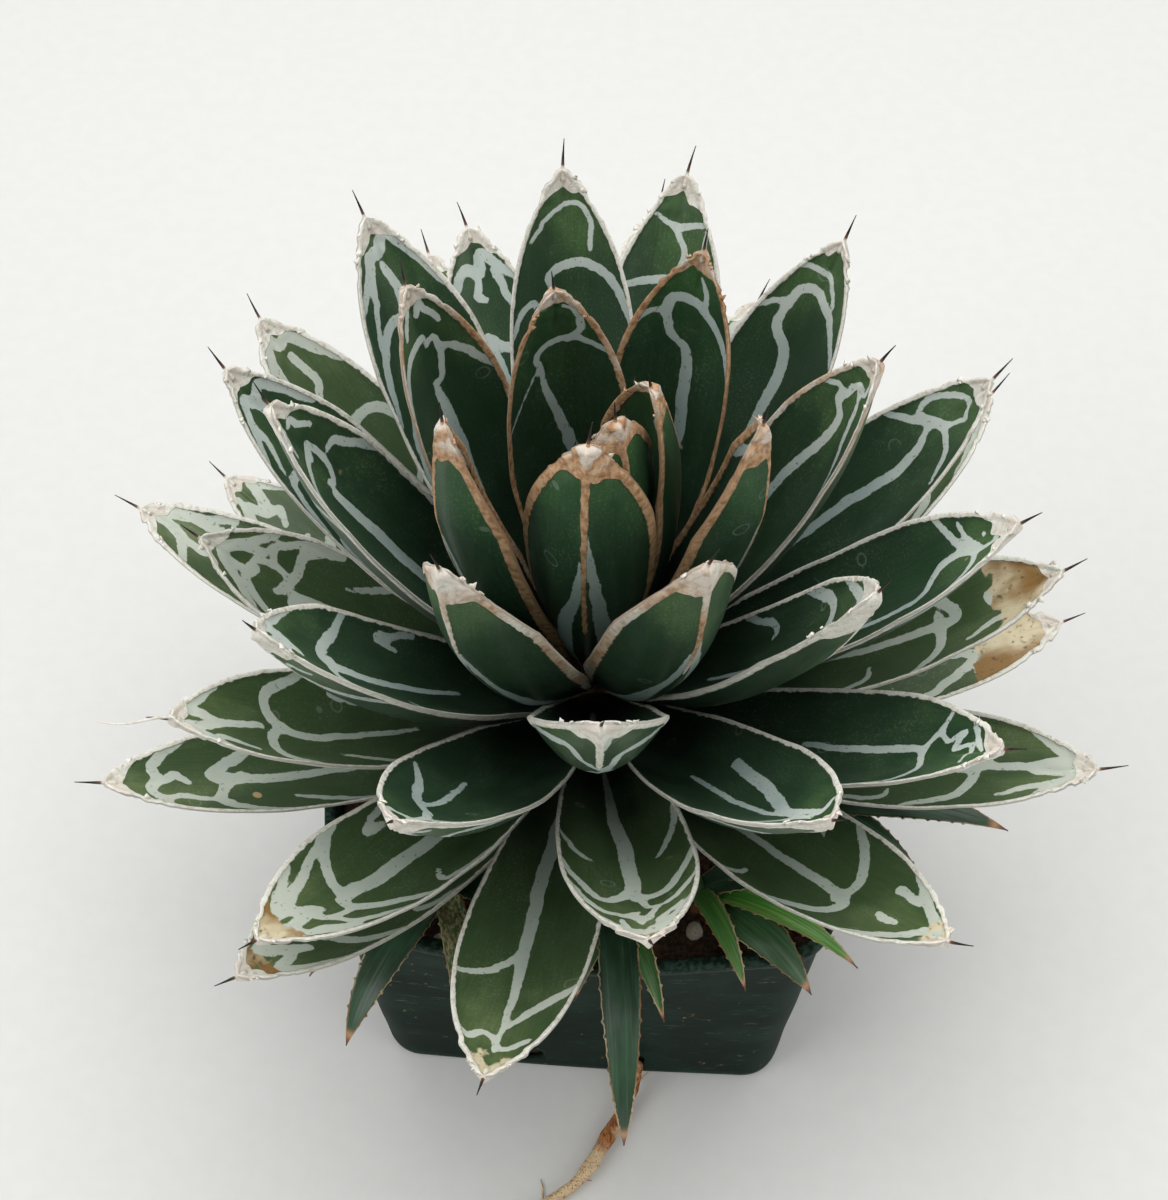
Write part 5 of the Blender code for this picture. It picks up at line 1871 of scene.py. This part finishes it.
# ---- root -------------------------------------------------------------------
@dataclass
class EscapedRoot:
    """A woody root that has grown out of a drain hole and along the ground."""

    radius: float = 0.0015
    rows: int = 170
    sides: int = 16
    line: tuple[tuple[float, float, float], ...] = (
        (0.01137, -0.0364, 0.0085), (0.00833, -0.0477, 0.0085), (0.0098, -0.0480, 0.0068),
        (0.0088, -0.0520, 0.0036), (0.0065, -0.0570, 0.0022), (0.0030, -0.0630, 0.0021),
        (-0.0005, -0.0690, 0.0022), (-0.0055, -0.0745, 0.0020), (-0.0130, -0.0790, 0.0016),
        (-0.0220, -0.0830, 0.0011), (-0.0300, -0.0850, 0.0006),
    )  # fmt: skip
    thickness: tuple[float, ...] = (0.9, 0.9, 1.0, 1.0, 0.95, 1.25, 1.2, 0.9, 0.7, 0.45, 0.25)
    rootlet_radius: float = 0.28 * MM
    rootlets_at: tuple[float, ...] = (0.26, 0.42, 0.55, 0.68, 0.78)  # shares of its length

    def tube(self, line: Array, radii: Array, seed: float, bare: Array) -> tuple[Array, Fields]:
        """A knobbly tube along a line.

        Args:
            line: Its centreline.
            radii: Its radius at each point.
            seed: Its own pattern.
            bare: How much of its bark is gone at each point.

        Returns:
            Rings, and their fields.
        """
        tangent = np.gradient(line, axis=0)
        tangent /= np.linalg.norm(tangent, axis=1)[:, None]
        side = np.cross(tangent, UP)
        side /= np.maximum(np.linalg.norm(side, axis=1), 1e-6)[:, None]
        top = np.cross(side, tangent)
        angle = around(self.sides)
        along = np.concatenate(([0], np.cumsum(np.linalg.norm(np.diff(line, axis=0), axis=1)))) / MM
        knobs = 1 + 0.16 * value_noise(along[:, None] / 4.5, angle[None] * 0.8, seed)
        knobs = knobs + 0.10 * value_noise(along[:, None] / 2.0, angle[None] * 1.9, seed + 1)
        radius = radii[:, None] * knobs * 0.94
        rings = hoops(line, radius, side[:, None], top[:, None], self.sides)
        rings[..., 2] = np.maximum(rings[..., 2], 0.00005)
        return rings, {"bare": np.broadcast_to(bare[:, None], radius.shape)}

    def build(self) -> bpy.types.Object:
        """Builds the root with a few rootlets.

        Returns:
            The piece.
        """
        line = smooth_line(np.array(self.line), 17)
        share = np.linspace(0, 1, len(line))
        at = np.linspace(0, 1, len(self.thickness))
        radii = np.interp(share, at, self.thickness) * self.radius
        bare = smoothstep(0.50, 0.60, share) * smoothstep(0.95, 0.8, share)
        patches = Patchwork()
        patches.add_tube(*self.tube(line, radii, 1.0, bare))
        rng = np.random.default_rng(5)
        for k, start in enumerate(self.rootlets_at):
            foot = line[int(start * (len(line) - 1))]
            heading = rng.uniform(-1, 1, 2)
            heading /= np.linalg.norm(heading)
            steps = np.linspace(0, 1, 16)
            reach = rng.uniform(3.0, 6.5) * MM * steps
            bend = value_noise(steps * 3, steps * 0, k + 20.0) * 0.8 * MM * steps
            x = foot[0] + heading[0] * reach - heading[1] * bend
            y = foot[1] + heading[1] * reach + heading[0] * bend
            thin = np.stack((x, y, np.interp(steps, (0, 0.4, 1), (foot[2], 0.0004, 0.0003))), -1)
            radii = self.rootlet_radius * (1 - 0.7 * steps)
            patches.add_tube(*self.tube(thin, radii, k + 30.0, steps * 0 + 0.2))
        finish = CorkyBark("root_bark", "#6B3D1D", "#B8743A", "#DCC49C", (0.5, 1.6, 0.5))
        return hand_over(patches.finish("woody_root", finish.make()), "root_bark", "escaped_root")


# ---- camera, light and floor ------------------------------------------------
@dataclass
class Studio:
    """Pale floor, soft lights and the camera."""

    eye: tuple[float, float, float] = (-0.0022, -0.23994, 0.46062)
    looking: tuple[float, float, float] = (0.0, 0.57928, -0.81513)
    lens_mm: float = 65.03
    sensor_mm: float = 36.0
    floor_size: float = 6.0
    aim: tuple[float, float, float] = (0.0, 0.0, 0.09)  # what the lights point at
    sky: float = 0.38

    def build(self) -> None:
        """Builds the stage."""
        self.camera()
        self.floor()
        self.light("soft_overhead", (0.05, 0.25, 1.1), 1.3, 13.0)
        self.light("soft_left", (-0.9, -0.35, 0.75), 0.8, 5.0)
        self.light("soft_right", (0.9, -0.5, 0.6), 0.8, 3.0)
        world = bpy.data.worlds.new("studio")
        world.use_nodes = True
        background = world.node_tree.nodes["Background"]
        background.inputs["Color"].default_value = to_linear("#E9EAEA")
        background.inputs["Strength"].default_value = self.sky
        bpy.context.scene.world = world
        bpy.context.scene.view_settings.view_transform = "Standard"

    def camera(self) -> None:
        """Makes the camera and gives it to the scene."""
        data = bpy.data.cameras.new("camera")
        data.lens = self.lens_mm
        data.sensor_width = self.sensor_mm
        data.sensor_fit = "HORIZONTAL"
        data.clip_start = 0.01
        camera = bpy.data.objects.new("camera", data)
        camera.location = self.eye
        camera.rotation_euler = Vector(self.looking).to_track_quat("-Z", "Y").to_euler()
        bpy.context.scene.collection.objects.link(camera)
        bpy.context.scene.camera = camera

    def light(self, name: str, spot: tuple[float, float, float], size: float, power: float) -> None:
        """Adds one large soft light aimed at the plant.

        Args:
            name: Its name.
            spot: Where it hangs.
            size: Its side.
            power: Its power in watts.
        """
        data = bpy.data.lights.new(name, "AREA")
        data.size = size
        data.energy = power
        light = bpy.data.objects.new(name, data)
        light.location = spot
        facing = Vector(self.aim) - Vector(spot)
        light.rotation_euler = facing.to_track_quat("-Z", "Y").to_euler()
        bpy.context.scene.collection.objects.link(light)

    def floor(self) -> None:
        """Adds a plain pale floor of matt board."""
        f = Finish("matt_board")
        speckle = f.solid_clouds(0.2)
        colour = f.add(Node.MIX, f.add(Node.STEP, speckle, 0.3, 0.7), "#DBDBD8", "#DDDDDA")
        material = f.close({"Base Color": colour, "Roughness": 0.85}, speckle, 0.001)
        mesh = bpy.data.meshes.new("floor")
        half = self.floor_size / 2
        corners = [(-half, -half, 0), (half, -half, 0), (half, half, 0), (-half, half, 0)]
        mesh.from_pydata(corners, [], [(0, 1, 2, 3)])
        mesh.materials.append(material)
        floor = bpy.data.objects.new("floor", mesh)
        bpy.context.scene.collection.objects.link(floor)


def main() -> None:
    """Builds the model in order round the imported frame."""
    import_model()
    Studio().build()
    pot = NurseryPot()
    pot.build()
    Soil(pot).build()
    Stem().build()
    Rosette().build()
    pup_look = PupCuticle().make()
    for name in PUPS:
        Pup(name).build(pup_look)
    EscapedRoot().build()
    bpy.context.view_layer.update()


if __name__ == "__main__":
    logging.basicConfig(level=logging.INFO)
    main()
